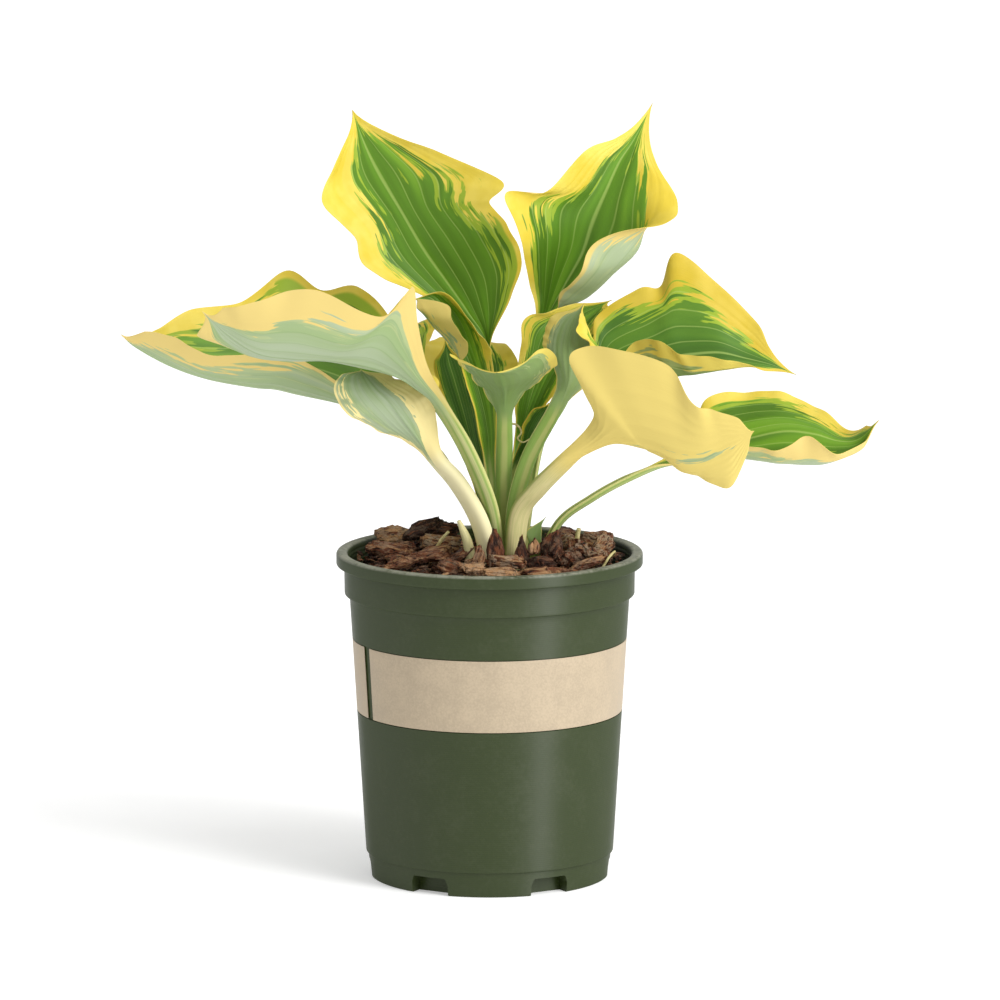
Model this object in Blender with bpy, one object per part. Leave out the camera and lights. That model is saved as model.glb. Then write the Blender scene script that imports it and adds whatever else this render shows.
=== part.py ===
"""Potted hosta: a nursery pot with its wrap label, soil, crown, leaves and bark mulch.

Everything is placed from the pot's axis and the floor it stands on, in millimetres, and is
turned into metres when a mesh is made.  +Z is up and the plant's front faces -Y.
Each leaf is one piece: a channelled stalk that opens into a ribbed, cupped blade.
"""
import math
import random

import bmesh
import bpy
import numpy as np

MM = 0.001                      # one millimetre in metres
PLANT_SHIFT_X = -6.04           # brings the middle of the whole plant to the origin
PLANT_SHIFT_Y = -16.01

# Pot, in millimetres
POT_SEGMENTS = 66
POT_HEIGHT = 177.0
LIP_RADIUS = 82.5
LIP_HEIGHT = 7.0
COLLAR_RADIUS = 78.1
COLLAR_BOTTOM = 154.0
BODY_TOP_RADIUS = 75.4
BODY_BOTTOM_RADIUS = 66.8
BASE_BOTTOM_RADIUS = 64.4
BASE_HEIGHT = 13.5
WALL = 2.2
BASE_STEP = 1.2                 # how far the base stands in from the body
FLOOR_TOP = 8.0
FLOOR_UNDERSIDE = 6.0
FOOT_INNER_RADIUS = 54.0
NOTCH_COUNT = 6
NOTCH_WIDTH = 22.0
NOTCH_HEIGHT = 9.5
NOTCH_INNER_RADIUS = 50.0

# Wrap label
LABEL_BOTTOM = 91.0
LABEL_TOP = 130.0
LABEL_RECESS = 0.7
LABEL_THICKNESS = 0.3
LABEL_SEAM_ANGLE = math.radians(-63.0)      # from the front, towards -X
LABEL_SEAM_WIDTH = 6.0

# Growing medium and crown
GAP = 0.4
SOIL_TOP = 162.5
CROWN_X = 9.0
CROWN_Y = 1.0
CROWN_RADIUS = 28.0
CROWN_TOP = 169.5
CROWN_BOTTOM = 140.0

# Leaf solids
BLADE_THICKNESS = 1.1
STALK_THICKNESS = 2.2
LEAF_ROWS = 16
LEAF_COLUMNS = 7
CHANNEL_DEPTH = 0.30            # stalk channel, as a share of the stalk's width

# Each stalk point is where the keel of the stalk passes.  Each blade row runs from the left
# margin over the midrib to the right margin, seen from the upper side with the tip up; a row
# of five also says where each half of the blade bends.
LEAVES = {
    "leaf_back_left": {
        "face": (0, -1, 0.2), "stalk_width": 5.5,
        "stalk": [(5, 15, 170), (3, 19, 202), (0, 22, 239), (-2, 25, 268)],
        "blade": [
            [(-7, 22, 286), (-2, 27, 287), (1, 22, 289)],
            [(-28, 24, 307), (-12, 30, 303), (12, 20, 313)],
            [(-49, 24, 318), (-22, 33, 317), (17, 14, 332)],
            [(-69, 24, 330), (-35, 36, 335), (10, 12, 352)],
            [(-73, 28, 344), (-47, 39, 355), (0, 18, 363)],
            [(-91, 26, 363), (-59, 42, 375), (6, 16, 375)],
            [(-83, 34, 382), (-67, 44, 391), (-32, 34, 391)],
        ],
        "tip": (-74, 46, 410),
    },
    "leaf_back_right": {
        "face": (0, -1, 0.2), "stalk_width": 5.5,
        "stalk": [(13, 15, 170), (15, 20, 201), (18, 26, 238), (24, 30, 270)],
        "blade": [
            [(25, 28, 302), (31, 33, 298), (36, 27, 303)],
            [(20, 24, 327), (30, 31, 323), (41, 36, 317), (53, 24, 312), (38, 15, 313)],
            [(15, 16, 348), (31, 29, 342), (50, 38, 333), (67, 16, 326), (47, 0, 326)],
            [(9, 14, 369), (31, 29, 361), (56, 39, 351), (80, 16, 339), (58, -2, 345)],
            [(30, 24, 369), (46, 34, 369), (63, 41, 367), (84, 26, 357), (94, 8, 353)],
            [(51, 34, 389), (60, 40, 386), (70, 44, 382), (86, 36, 375), (101, 24, 363)],
            [(70, 44, 396), (78, 47, 394), (89, 42, 384)],
        ],
        "tip": (88, 52, 413),
    },
    "leaf_left_long": {
        "face": (0.4, 0.3, 1), "stalk_width": 6.0,
        "stalk": [(-4, 7, 171), (-7.5, 9, 192), (-17, 19, 210), (-30, 25, 229)],
        "blade": [
            [(-57, 20, 250), (-56, 30, 244), (-52, 38, 250)],
            [(-79, 14, 266), (-78, 32, 253), (-52, 52, 291)],
            [(-101, 4, 280), (-102, 30, 259), (-71, 58, 312)],
            [(-128, -4, 285), (-126, 25, 264), (-109, 58, 320)],
            [(-152, -10, 286), (-150, 17, 269), (-135, 48, 305)],
            [(-170, -10, 295), (-172, 8, 277), (-162, 32, 303)],
            [(-184, -8, 298), (-188, 1, 286), (-179, 14, 295)],
        ],
        "tip": (-197, -4, 295),
    },
    "leaf_left_front": {
        "face": (0.7, 0.5, 0.5), "stalk_width": 11.0,
        "stalk": [(2, -12, 171), (-1, -19, 203), (-13, -26, 235), (-27, -32, 260)],
        "blade": [
            [(-33, -40, 284), (-40, -35, 272), (-27, -20, 273)],
            [(-38, -50, 309), (-52, -37, 279), (-37, -8, 278)],
            [(-41, -58, 329), (-67, -39, 284), (-56, 4, 284)],
            [(-57, -60, 312), (-86, -41, 287), (-78, 10, 286)],
            [(-92, -64, 328), (-105, -43, 288), (-102, 8, 289)],
            [(-122, -62, 322), (-123, -46, 291), (-131, -28, 292)],
            [(-141, -58, 317), (-138, -49, 301), (-155, -44, 301)],
        ],
        "tip": (-152, -53, 315),
    },
    "leaf_left_low": {
        "face": (0.6, 0.6, 0.5), "stalk_width": 12.5,
        "stalk": [(0, -22, 171), (-7, -20, 196), (-18.5, -18, 216), (-30.5, -19, 230)],
        "blade": [
            [(-28, -24, 250), (-38, -23, 241), (-47, -18, 240)],
            [(-30, -24, 262), (-46, -25, 252), (-64, -20, 248)],
            [(-35, -18, 267), (-54, -24, 262), (-78, -20, 257)],
            [(-46, -12, 270), (-61, -20, 268), (-83, -16, 267)],
            [(-55, -6, 274), (-66, -12, 273), (-79, -12, 275)],
        ],
        "tip": (-69, -4, 276),
    },
    "leaf_centre_arched": {
        "face": (0.1, -1, 0.2), "stalk_width": 6.0,
        "stalk": [(4, 5, 170), (2, 8, 203), (0, 10, 224)],
        "blade": [
            [(-6, 7, 240), (-1, 10, 240), (4, 6, 240)],
            [(-9, 5, 256), (-4, 10, 256), (4, 4, 257)],
            [(-15, 2, 275), (-10, 10, 276), (2, 2, 277)],
            [(-12, -11, 287), (-23, 1, 290), (-17, 9, 291), (-9, 7, 291), (-1, 0, 288)],
            [(-15, -13, 296), (-30, -1, 298), (-23, 8, 302), (-14, 7, 302), (-7, 0, 298)],
            [(-20, -11, 305), (-35, -2, 305), (-28, 7, 310), (-22, 6, 311), (-16, 1, 309)],
            [(-23, -7, 312), (-39, -1, 309), (-33, 6, 314), (-29, 5, 316), (-26, 3, 317)],
        ],
        "tip": (-40, 4, 313),
    },
    "leaf_centre_left": {
        "face": (0.1, -1, 0.2), "stalk_width": 4.5,
        "stalk": [(-3, 14, 171), (-3, 15, 190)],
        "blade": [
            [(-8, 12, 208), (-4, 17, 208), (0.5, 13.5, 208)],
            [(-13, 12, 222), (-7, 17, 222), (-1.5, 14, 222)],
            [(-18, 12, 238), (-11, 17.5, 238), (-4.5, 14, 238)],
            [(-24, 12, 253), (-15, 18, 253), (-6, 15, 251)],
            [(-29, 13, 268), (-19, 19, 267), (-9, 16, 265)],
            [(-30, 15, 278), (-22, 20, 277), (-12, 17, 276)],
        ],
        "tip": (-24, 20, 289),
    },
    "leaf_front_cupped": {
        "face": (0, 1, 0.1), "stalk_width": 8.0,
        "stalk": [(8, -5.5, 171), (7.5, -9, 208), (8, -17, 236), (8, -27, 254)],
        "blade": [
            [(16, -26, 263), (8, -32, 263), (-1, -26, 264)],
            [(25, -30, 273), (8, -40, 271), (-7, -28, 273)],
            [(36, -38, 283), (7, -50, 276), (-14, -34, 283)],
            [(31, -50, 294), (6, -59, 280), (-21, -46, 291)],
            [(17, -63, 288), (5, -66, 283), (-8, -62, 286)],
        ],
        "tip": (4, -71, 285),
    },
    "leaf_centre_tall": {
        "face": (0, -1, 0.2), "stalk_width": 5.0,
        "stalk": [(10, 8, 170), (11, 12, 203), (15, 16, 226)],
        "blade": [
            [(14, 11, 243), (18, 19, 242), (26, 12, 247)],
            [(15, 12, 262), (23, 21, 260), (38, 14, 265)],
            [(16, 11, 281), (29, 22, 276), (50, 16, 281)],
            [(18, 11, 300), (35, 21, 289), (59, 20, 292)],
            [(30, 15, 305), (43, 24, 298), (64, 24, 300)],
            [(47, 23, 308), (54, 27, 304), (65, 27, 305)],
        ],
        "tip": (66, 29, 309),
    },
    "leaf_centre_right": {
        "face": (-0.4, 1, 0.2), "stalk_width": 8.0,
        "stalk": [(14, -14, 171), (13, -16, 193), (15.5, -17.5, 212), (22.5, -19, 233), (36, -21, 258)],
        "blade": [
            [(52, -14, 271), (42, -22, 271), (36, -13, 272)],
            [(54, -26, 290), (58, -14, 283), (43, -20, 283), (35, -16, 285), (30, -8, 287)],
            [(47, -26, 301), (54, -16, 296), (43, -15, 294), (35, -10, 295), (29, -3, 297)],
            [(49, -16, 308), (51, -11, 305), (45, -9, 303), (40, -5, 304), (36, 0, 306)],
        ],
        "tip": (51, -3, 312),
    },
    "leaf_right_back": {
        "face": (-0.5, -0.1, 1), "stalk_width": 5.0,
        "stalk": [(17, 1, 171), (16, -1, 200), (22, -4, 229), (33, -7, 249), (45, -6, 265)],
        "blade": [
            [(55, 8, 285), (60, -2, 272), (64, -10, 276)],
            [(58, 18, 302), (66, 10, 289), (76, -2, 279), (81, -12, 276), (76, -20, 292)],
            [(80, 24, 316), (85, 13, 298), (93, -2, 282), (96, -14, 274), (89, -26, 296)],
            [(99, 26, 333), (102, 13, 306), (108, -2, 284), (111, -15, 275), (103, -26, 287)],
            [(119, 20, 323), (121, 9, 303), (123, -3, 285), (124, -14, 277), (119, -22, 286)],
            [(143, 10, 300), (140, 4, 291), (137, -4, 282), (138, -10, 278), (135, -15, 281)],
            [(151, 0, 286), (151, -6, 279), (148, -9, 276)],
        ],
        "tip": (164, -8, 274),
    },
    "leaf_right_front": {
        "face": (-0.4, 0.8, 0.6), "stalk_width": 11.0,
        "stalk": [(14, -22, 171), (17, -24, 200), (26, -29, 214), (39, -35, 228)],
        "blade": [
            [(56, -28, 243), (55, -42, 239), (51, -43, 250)],
            [(73, -28, 246), (66, -47, 244), (54, -52, 264)],
            [(89, -26, 246), (78, -51, 243), (42, -62, 295)],
            [(98, -32, 239), (89, -54, 240), (67, -68, 297)],
            [(103, -44, 230), (100, -57, 236), (93, -72, 289)],
            [(115, -52, 224), (113, -60, 237), (107, -72, 269)],
            [(128, -57, 221), (125, -63, 243), (119, -71, 264)],
            [(137, -62, 241), (133, -65, 248), (132, -69, 260)],
        ],
        "tip": (140, -67, 253),
    },
    "leaf_right_low": {
        "face": (-0.3, 0, 1), "stalk_width": 6.0,
        "stalk": [(27, 6, 170), (38, 10, 191), (55, 14, 203), (72, 18, 212), (90, 21, 219)],
        "blade": [
            [(108, 32, 232), (107, 24, 223), (109, 16, 222)],
            [(117, 44, 252), (120, 35, 240), (123, 26, 230), (125, 14, 225), (124, 2, 233)],
            [(139, 50, 256), (140, 38, 246), (140, 26, 234), (141, 10, 225), (139, -4, 234)],
            [(161, 48, 255), (160, 36, 247), (159, 24, 238), (159, 6, 224), (157, -9, 235)],
            [(178, 40, 248), (176, 30, 243), (175, 20, 237), (176, 4, 223), (172, -10, 241)],
            [(193, 24, 239), (191, 20, 236), (188, 15, 234), (189, 5, 226), (187, -4, 231)],
            [(203, 14, 243), (201, 13, 240), (199, 11, 236), (201, 7, 232), (202, 3, 236)],
        ],
        "tip": (209, 6, 247),
    },
    "leaf_back_low": {
        "face": (0, -0.6, 0.8), "stalk_width": 5.5,
        "stalk": [(7, 22, 170), (8, 29, 200), (6, 37, 226), (1, 44, 243)],
        "blade": [
            [(-18, 44, 257), (-4, 50, 255), (7, 44, 258)],
            [(-33, 48, 267), (-8, 56, 266), (15, 48, 267)],
            [(-35, 56, 280), (-10, 62, 275), (13, 56, 276)],
            [(-27, 68, 282), (-12, 70, 280), (5, 68, 280)],
        ],
        "tip": (-12, 86, 276),
    },
    "leaf_centre_young": {
        "face": (0, -1, 0.2), "stalk_width": 4.0,
        "stalk": [(10, 0, 171), (9, 2, 202), (14, 4, 223)],
        "blade": [
            [(17, -1, 238), (20, 4, 234), (25, 0, 238)],
            [(18, 0, 246), (24, 6, 243), (30, 2, 246)],
            [(24, 3, 254), (28, 8, 250), (33, 4, 252)],
        ],
        "tip": (32, 9, 256),
    },
    "leaf_rear_left": {
        "face": (0.1, -0.5, 1), "stalk_width": 5.5,
        "stalk": [(-2, 22, 170), (-2, 32, 196), (-13, 46, 223), (-27, 57, 245), (-38, 62, 258)],
        "blade": [
            [(-52, 66, 272), (-44, 73, 270), (-33, 74, 277)],
            [(-70, 74, 284), (-52, 86, 279), (-30, 84, 290)],
            [(-80, 88, 286), (-60, 100, 278), (-38, 96, 288)],
            [(-76, 100, 276), (-65, 107, 269), (-53, 102, 276)],
        ],
        "tip": (-72, 114, 256),
    },
    "leaf_rear_right": {
        "face": (-0.2, -0.5, 1), "stalk_width": 5.5,
        "stalk": [(17, 21, 170), (21, 30, 200), (27, 40, 230), (37, 48, 246), (46, 55, 260)],
        "blade": [
            [(52, 65, 272), (58, 62, 270), (65, 55, 274)],
            [(62, 80, 287), (78, 78, 280), (92, 62, 288)],
            [(70, 94, 286), (86, 92, 277), (101, 77, 286)],
            [(82, 104, 274), (92, 102, 267), (102, 92, 274)],
        ],
        "tip": (100, 110, 256),
    },
}

# Torn sheath beside the right stalks, and a young rolled shoot that leans left
SHEATH = {
    "face": (-0.6, 0.8, 0), "stalk_width": 7.0,
    "stalk": [(25, -15, 170), (26, -16, 180)],
    "blade": [[(30, -14, 190), (27, -17, 190), (23, -18, 190)]],
    "tip": (26, -17, 200),
}
SHOOT_PATH = [(-11, -17, 170.5), (-13, -19, 184), (-18, -20, 197)]
SHOOT_RADII = (1.7, 1.7, 1.6, 1.5, 1.2, 0.7)
SHOOT_SIDES = 8

# Bark heaped on the mulch: centre, size (length, width, thickness), turn, tilt and roll in
# degrees.  Below it lie two rings of flat chips, made by a rule.
BARK_HEAP = [
    ((-51, 36, 179.5), (22, 15, 5), 20, 0, 38),
    ((-53, 8, 176.0), (27, 17, 7), -12, 4, 8),
    ((-28, 50, 179.5), (27, 14, 6), 10, 2, 30),
    ((-28, 26, 177.0), (24, 12, 6), -20, 8, 14),
    ((-32, -12, 176.5), (27, 17, 7), 18, -6, 8),
    ((-7, -35, 177.0), (12, 9, 6), 40, 0, 10),
    ((-9, -50, 175.5), (14, 12, 6), 15, 4, 6),
    ((9, -38, 177.5), (22, 11, 7), -8, 3, 8),
    ((7, -58, 175.0), (21, 12, 5), 6, 0, 6),
    ((28, -40, 177.0), (16, 13, 6), 35, 8, 10),
    ((28, -59, 175.0), (22, 10, 5), 8, 0, 6),
    ((43, -22, 177.0), (18, 14, 8), 60, 8, 12),
    ((46, 3, 178.0), (17, 15, 11), 30, 6, 0),
    ((59, -12, 176.0), (20, 13, 7), 80, 6, 6),
    ((58, 26, 178.0), (20, 14, 7), -35, 8, 16),
    ((40, 44, 177.0), (24, 14, 7), -50, 4, 12),
]
OUTER_RING = {"count": 13, "radius": 61.0, "size": (25.0, 15.0, 7.0), "z": 167.3}
INNER_RING = {"count": 8, "radius": 41.0, "size": (23.0, 13.0, 7.0), "z": 167.3}
CHIP_SIDES = 7
CHIP_SEED = 11


def clear_scene():
    """Removes what the new scene starts with."""
    for thing in list(bpy.data.objects):
        bpy.data.objects.remove(thing, do_unlink=True)


def material(name, colour, roughness, metallic=0.0):
    """Makes a Principled material of one colour."""
    made = bpy.data.materials.new(name)
    made.use_nodes = True
    shader = made.node_tree.nodes["Principled BSDF"]
    shader.inputs["Base Color"].default_value = (*colour, 1.0)
    shader.inputs["Roughness"].default_value = roughness
    shader.inputs["Metallic"].default_value = metallic
    return made


def add_object(name, vertices, faces, finish):
    """Adds a mesh object from points in millimetres about the pot's axis."""
    shifted = np.asarray(vertices, dtype=float) + (PLANT_SHIFT_X, PLANT_SHIFT_Y, 0.0)
    mesh = bpy.data.meshes.new(name)
    mesh.from_pydata((shifted * MM).tolist(), [], faces)
    made = bpy.data.objects.new(name, mesh)
    bpy.context.scene.collection.objects.link(made)
    mesh.materials.append(finish)
    outward = bmesh.new()
    outward.from_mesh(mesh)
    bmesh.ops.recalc_face_normals(outward, faces=outward.faces)
    outward.to_mesh(mesh)
    outward.free()
    mesh.shade_smooth()
    mesh.set_sharp_from_angle(angle=math.radians(40))
    return made


def lathe(name, profile, finish, segments=POT_SEGMENTS, centre=(0.0, 0.0)):
    """Turns a profile of (radius, height) points, which starts and ends on the axis."""
    inner = profile[1:-1]
    angles = np.arange(segments) * 2.0 * math.pi / segments
    rings = [
        [(centre[0] + r * math.sin(a), centre[1] - r * math.cos(a), z) for a in angles]
        for r, z in inner
    ]
    vertices = [point for ring in rings for point in ring]
    first_pole = len(vertices)
    last_pole = first_pole + 1
    vertices.append((centre[0], centre[1], profile[0][1]))
    vertices.append((centre[0], centre[1], profile[-1][1]))
    faces = []
    for k in range(segments):
        n = (k + 1) % segments
        faces.append((first_pole, n, k))
        for row in range(len(inner) - 1):
            low = row * segments
            faces.append((low + k, low + n, low + segments + n, low + segments + k))
        top = (len(inner) - 1) * segments
        faces.append((top + k, top + n, last_pole))
    return add_object(name, vertices, faces, finish)


def body_radius(z):
    """Outer radius of the tapered body at a height."""
    share = (z - BASE_HEIGHT) / (COLLAR_BOTTOM - BASE_HEIGHT)
    return BODY_BOTTOM_RADIUS + share * (BODY_TOP_RADIUS - BODY_BOTTOM_RADIUS)


def inner_radius(z):
    """Radius of the pot's cavity at a height below the collar."""
    return body_radius(z) - WALL - BASE_STEP


def pot_profile():
    """Half section of the pot, from the middle of the cavity's floor to the underside."""
    collar_inner = COLLAR_RADIUS - WALL
    recess = LABEL_RECESS
    return [
        (0.0, FLOOR_TOP),
        (inner_radius(FLOOR_TOP) - 3.0, FLOOR_TOP),
        (inner_radius(FLOOR_TOP + 3.0), FLOOR_TOP + 3.0),
        (inner_radius(COLLAR_BOTTOM - 3.0), COLLAR_BOTTOM - 3.0),
        (collar_inner, COLLAR_BOTTOM + 1.0),
        (collar_inner + 0.4, POT_HEIGHT - 2.0),
        (collar_inner + 1.4, POT_HEIGHT - 0.4),
        (collar_inner + 2.6, POT_HEIGHT),
        (LIP_RADIUS - 1.2, POT_HEIGHT),
        (LIP_RADIUS, POT_HEIGHT - 1.2),
        (LIP_RADIUS, POT_HEIGHT - LIP_HEIGHT + 0.8),
        (LIP_RADIUS - 0.8, POT_HEIGHT - LIP_HEIGHT),
        (COLLAR_RADIUS + 0.2, POT_HEIGHT - LIP_HEIGHT),
        (COLLAR_RADIUS, COLLAR_BOTTOM + 0.7),
        (COLLAR_RADIUS - 0.7, COLLAR_BOTTOM),
        (BODY_TOP_RADIUS, COLLAR_BOTTOM),
        (body_radius(LABEL_TOP + 0.5), LABEL_TOP + 0.5),
        (body_radius(LABEL_TOP + 0.5) - recess, LABEL_TOP + 0.5),
        (body_radius(LABEL_BOTTOM - 0.5) - recess, LABEL_BOTTOM - 0.5),
        (body_radius(LABEL_BOTTOM - 0.5), LABEL_BOTTOM - 0.5),
        (BODY_BOTTOM_RADIUS, BASE_HEIGHT + 0.8),
        (BODY_BOTTOM_RADIUS - BASE_STEP, BASE_HEIGHT),
        (BASE_BOTTOM_RADIUS + 0.1, 1.0),
        (BASE_BOTTOM_RADIUS - 0.9, 0.0),
        (FOOT_INNER_RADIUS, 0.0),
        (FOOT_INNER_RADIUS - 1.5, FLOOR_UNDERSIDE),
        (0.0, FLOOR_UNDERSIDE),
    ]


def notch_cutter(index):
    """A block that cuts one drain notch between two feet."""
    bpy.ops.mesh.primitive_cube_add(size=1.0)
    cutter = bpy.context.object
    cutter.name = f"notch_cutter_{index}"
    length = LIP_RADIUS - NOTCH_INNER_RADIUS
    reach = NOTCH_INNER_RADIUS + length / 2.0
    angle = math.radians(30.0 + index * 360.0 / NOTCH_COUNT)
    for vertex in cutter.data.vertices:
        taper = 0.82 if vertex.co.z > 0 else 1.0
        vertex.co.x *= NOTCH_WIDTH * taper * MM
        vertex.co.y *= length * MM
        vertex.co.z *= 2.0 * NOTCH_HEIGHT * MM
    cutter.location = (
        (PLANT_SHIFT_X + reach * math.sin(angle)) * MM,
        (PLANT_SHIFT_Y - reach * math.cos(angle)) * MM,
        0.0,
    )
    cutter.rotation_euler = (0.0, 0.0, angle)
    cutter.hide_render = True
    cutter.display_type = "WIRE"
    return cutter


def build_pot(finish):
    """The pot: one moulded wall with a rolled lip, a collar and six feet."""
    pot = lathe("pot", pot_profile(), finish)
    for index in range(NOTCH_COUNT):
        cut = pot.modifiers.new(f"notch_{index}", "BOOLEAN")
        cut.operation = "DIFFERENCE"
        cut.solver = "EXACT"
        cut.object = notch_cutter(index)
    return pot


def build_label(finish):
    """The bare wrap label: a thin conical band with a seam gap at the front left."""
    steps = 60
    half_gap = LABEL_SEAM_WIDTH / 2.0 / body_radius(LABEL_BOTTOM)
    angles = np.linspace(half_gap, 2.0 * math.pi - half_gap, steps + 1) + LABEL_SEAM_ANGLE
    vertices = []
    for z in (LABEL_BOTTOM, LABEL_TOP):
        back = body_radius(z) - LABEL_RECESS + GAP
        for r in (back, back + LABEL_THICKNESS):
            vertices.extend((r * math.sin(a), -r * math.cos(a), z) for a in angles)
    n = steps + 1
    low_in, low_out, top_in, top_out = 0, n, 2 * n, 3 * n
    faces = []
    for k in range(steps):
        for a, b in ((low_in, low_out), (low_out, top_out), (top_out, top_in), (top_in, low_in)):
            faces.append((a + k, b + k, b + k + 1, a + k + 1))
    for k in (0, steps):
        faces.append((low_in + k, low_out + k, top_out + k, top_in + k))
    return add_object("label_band", vertices, faces, finish)


def build_soil(finish):
    """The root ball of potting mix, with a pocket that the crown sits in."""
    foot = FLOOR_TOP + 3.0
    shoulder = COLLAR_BOTTOM - 4.0
    profile = [
        (0.0, foot),
        (inner_radius(foot) - GAP - 4.0, foot),
        (inner_radius(foot) - GAP, foot + 4.0),
        (inner_radius(shoulder) - GAP, shoulder),
        (inner_radius(shoulder) - GAP - 0.5, SOIL_TOP - 1.5),
        (inner_radius(shoulder) - GAP - 3.0, SOIL_TOP),
        (0.0, SOIL_TOP),
    ]
    soil = lathe("potting_soil", profile, finish, segments=48)
    bpy.ops.mesh.primitive_cylinder_add(
        vertices=30,
        radius=(CROWN_RADIUS + GAP + 0.3) * MM,
        depth=(SOIL_TOP - CROWN_BOTTOM + 20.0) * MM,
        location=(
            (CROWN_X + PLANT_SHIFT_X) * MM,
            (CROWN_Y + PLANT_SHIFT_Y) * MM,
            (CROWN_BOTTOM - GAP + (SOIL_TOP - CROWN_BOTTOM + 20.0) / 2.0) * MM,
        ),
    )
    pocket = bpy.context.object
    pocket.name = "crown_pocket_cutter"
    pocket.hide_render = True
    pocket.display_type = "WIRE"
    cut = soil.modifiers.new("crown_pocket", "BOOLEAN")
    cut.operation = "DIFFERENCE"
    cut.solver = "EXACT"
    cut.object = pocket
    return soil


def build_crown(finish):
    """The short rootstock that every stalk rises from."""
    profile = [
        (0.0, CROWN_BOTTOM),
        (CROWN_RADIUS * 0.75, CROWN_BOTTOM),
        (CROWN_RADIUS, CROWN_BOTTOM + 10.0),
        (CROWN_RADIUS, CROWN_TOP - 4.0),
        (CROWN_RADIUS - 1.5, CROWN_TOP),
        (0.0, CROWN_TOP),
    ]
    return lathe("crown", profile, finish, segments=24, centre=(CROWN_X, CROWN_Y))


def unit(vector):
    """A vector scaled to length one."""
    return np.asarray(vector, dtype=float) / np.linalg.norm(vector)


def smooth_curve(points, places):
    """Catmull-Rom curve through evenly numbered points, read at fractional places."""
    points = np.asarray(points, dtype=float)
    first = 2.0 * points[0] - points[1]
    last = 2.0 * points[-1] - points[-2]
    padded = np.concatenate([[first], points, [last]])
    start = np.clip(np.floor(places).astype(int), 0, len(points) - 2)
    t = (places - start).reshape((-1,) + (1,) * (points.ndim - 1))
    a, b, c, d = (padded[start + k] for k in range(4))
    return 0.5 * (
        2.0 * b
        + (c - a) * t
        + (2.0 * a - 5.0 * b + 4.0 * c - d) * t ** 2
        + (3.0 * b - a - 3.0 * c + d) * t ** 3
    )


def stalk_rows(leaf):
    """Five points across the channel at each point of a stalk."""
    keel = np.asarray(leaf["stalk"], dtype=float)
    directions = np.gradient(keel, axis=0)
    rows = []
    for point, direction in zip(keel, directions):
        side = unit(np.cross(unit(direction), leaf["face"]))
        face = np.cross(side, unit(direction))
        width = leaf["stalk_width"]
        depth = face * width * CHANNEL_DEPTH
        rows.append([
            point - side * width * 0.50 + depth,
            point - side * width * 0.34 + depth * 0.2,
            point,
            point + side * width * 0.34 + depth * 0.2,
            point + side * width * 0.50 + depth,
        ])
    return rows


def blade_row(row):
    """Five points of a blade row; halves of a three-point row bow outwards a little."""
    if len(row) == 5:
        return [np.array(point, dtype=float) for point in row]
    left, middle, right = (np.array(point, dtype=float) for point in row)

    def halfway(edge, other):
        bowed = (3.0 * edge + 6.0 * middle - other) / 8.0
        return 0.75 * bowed + 0.25 * (edge + middle) / 2.0

    return [left, halfway(left, right), middle, halfway(right, left), right]


def leaf_grid(leaf, rows, columns):
    """Middle surface of a leaf: a grid of points, rows along it and columns across it."""
    frame = stalk_rows(leaf) + [blade_row(row) for row in leaf["blade"]]
    tip = np.array(leaf["tip"], dtype=float)
    spread = (frame[-1][4] - frame[-1][0]) * 0.02
    frame.append([tip + spread * k for k in (-1.0, -0.5, 0.0, 0.5, 1.0)])
    frame = np.array(frame)
    along = smooth_curve(frame, np.linspace(0.0, len(frame) - 1.0, rows))
    across = smooth_curve(along.transpose(1, 0, 2), np.linspace(0.0, 4.0, columns))
    return across.transpose(1, 0, 2)


def grid_normals(grid):
    """Unit normals of a grid of points."""
    along = np.gradient(grid, axis=0)
    across = np.gradient(grid, axis=1)
    normals = np.cross(across, along)
    lengths = np.linalg.norm(normals, axis=2, keepdims=True)
    normals = normals / np.maximum(lengths, 1e-6)
    normals[-1] = normals[-2]
    return normals


def build_leaf(name, leaf, finish, rows=LEAF_ROWS, columns=LEAF_COLUMNS):
    """One leaf, stalk and blade in one closed skin."""
    grid = leaf_grid(leaf, rows, columns)
    stalk_share = (len(leaf["stalk"]) - 1) / (len(leaf["stalk"]) + len(leaf["blade"]))
    along = np.linspace(0.0, 1.0, rows)
    thinning = np.clip(along / stalk_share, 0.0, 1.0)
    thickness = STALK_THICKNESS + (BLADE_THICKNESS - STALK_THICKNESS) * thinning
    offset = grid_normals(grid) * thickness[:, None, None] / 2.0
    vertices = np.concatenate([(grid + offset).reshape(-1, 3), (grid - offset).reshape(-1, 3)])
    below = rows * columns
    faces = []
    for i in range(rows - 1):
        for j in range(columns - 1):
            a = i * columns + j
            quad = (a, a + 1, a + columns + 1, a + columns)
            faces.append(quad)
            faces.append(tuple(below + corner for corner in reversed(quad)))
        a = i * columns
        faces.append((a, a + columns, below + a + columns, below + a))
        a = i * columns + columns - 1
        faces.append((a, below + a, below + a + columns, a + columns))
    for j in range(columns - 1):
        faces.append((j, below + j, below + j + 1, j + 1))
        a = (rows - 1) * columns + j
        faces.append((a, a + 1, below + a + 1, below + a))
    return add_object(name, vertices, faces, finish)


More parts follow.
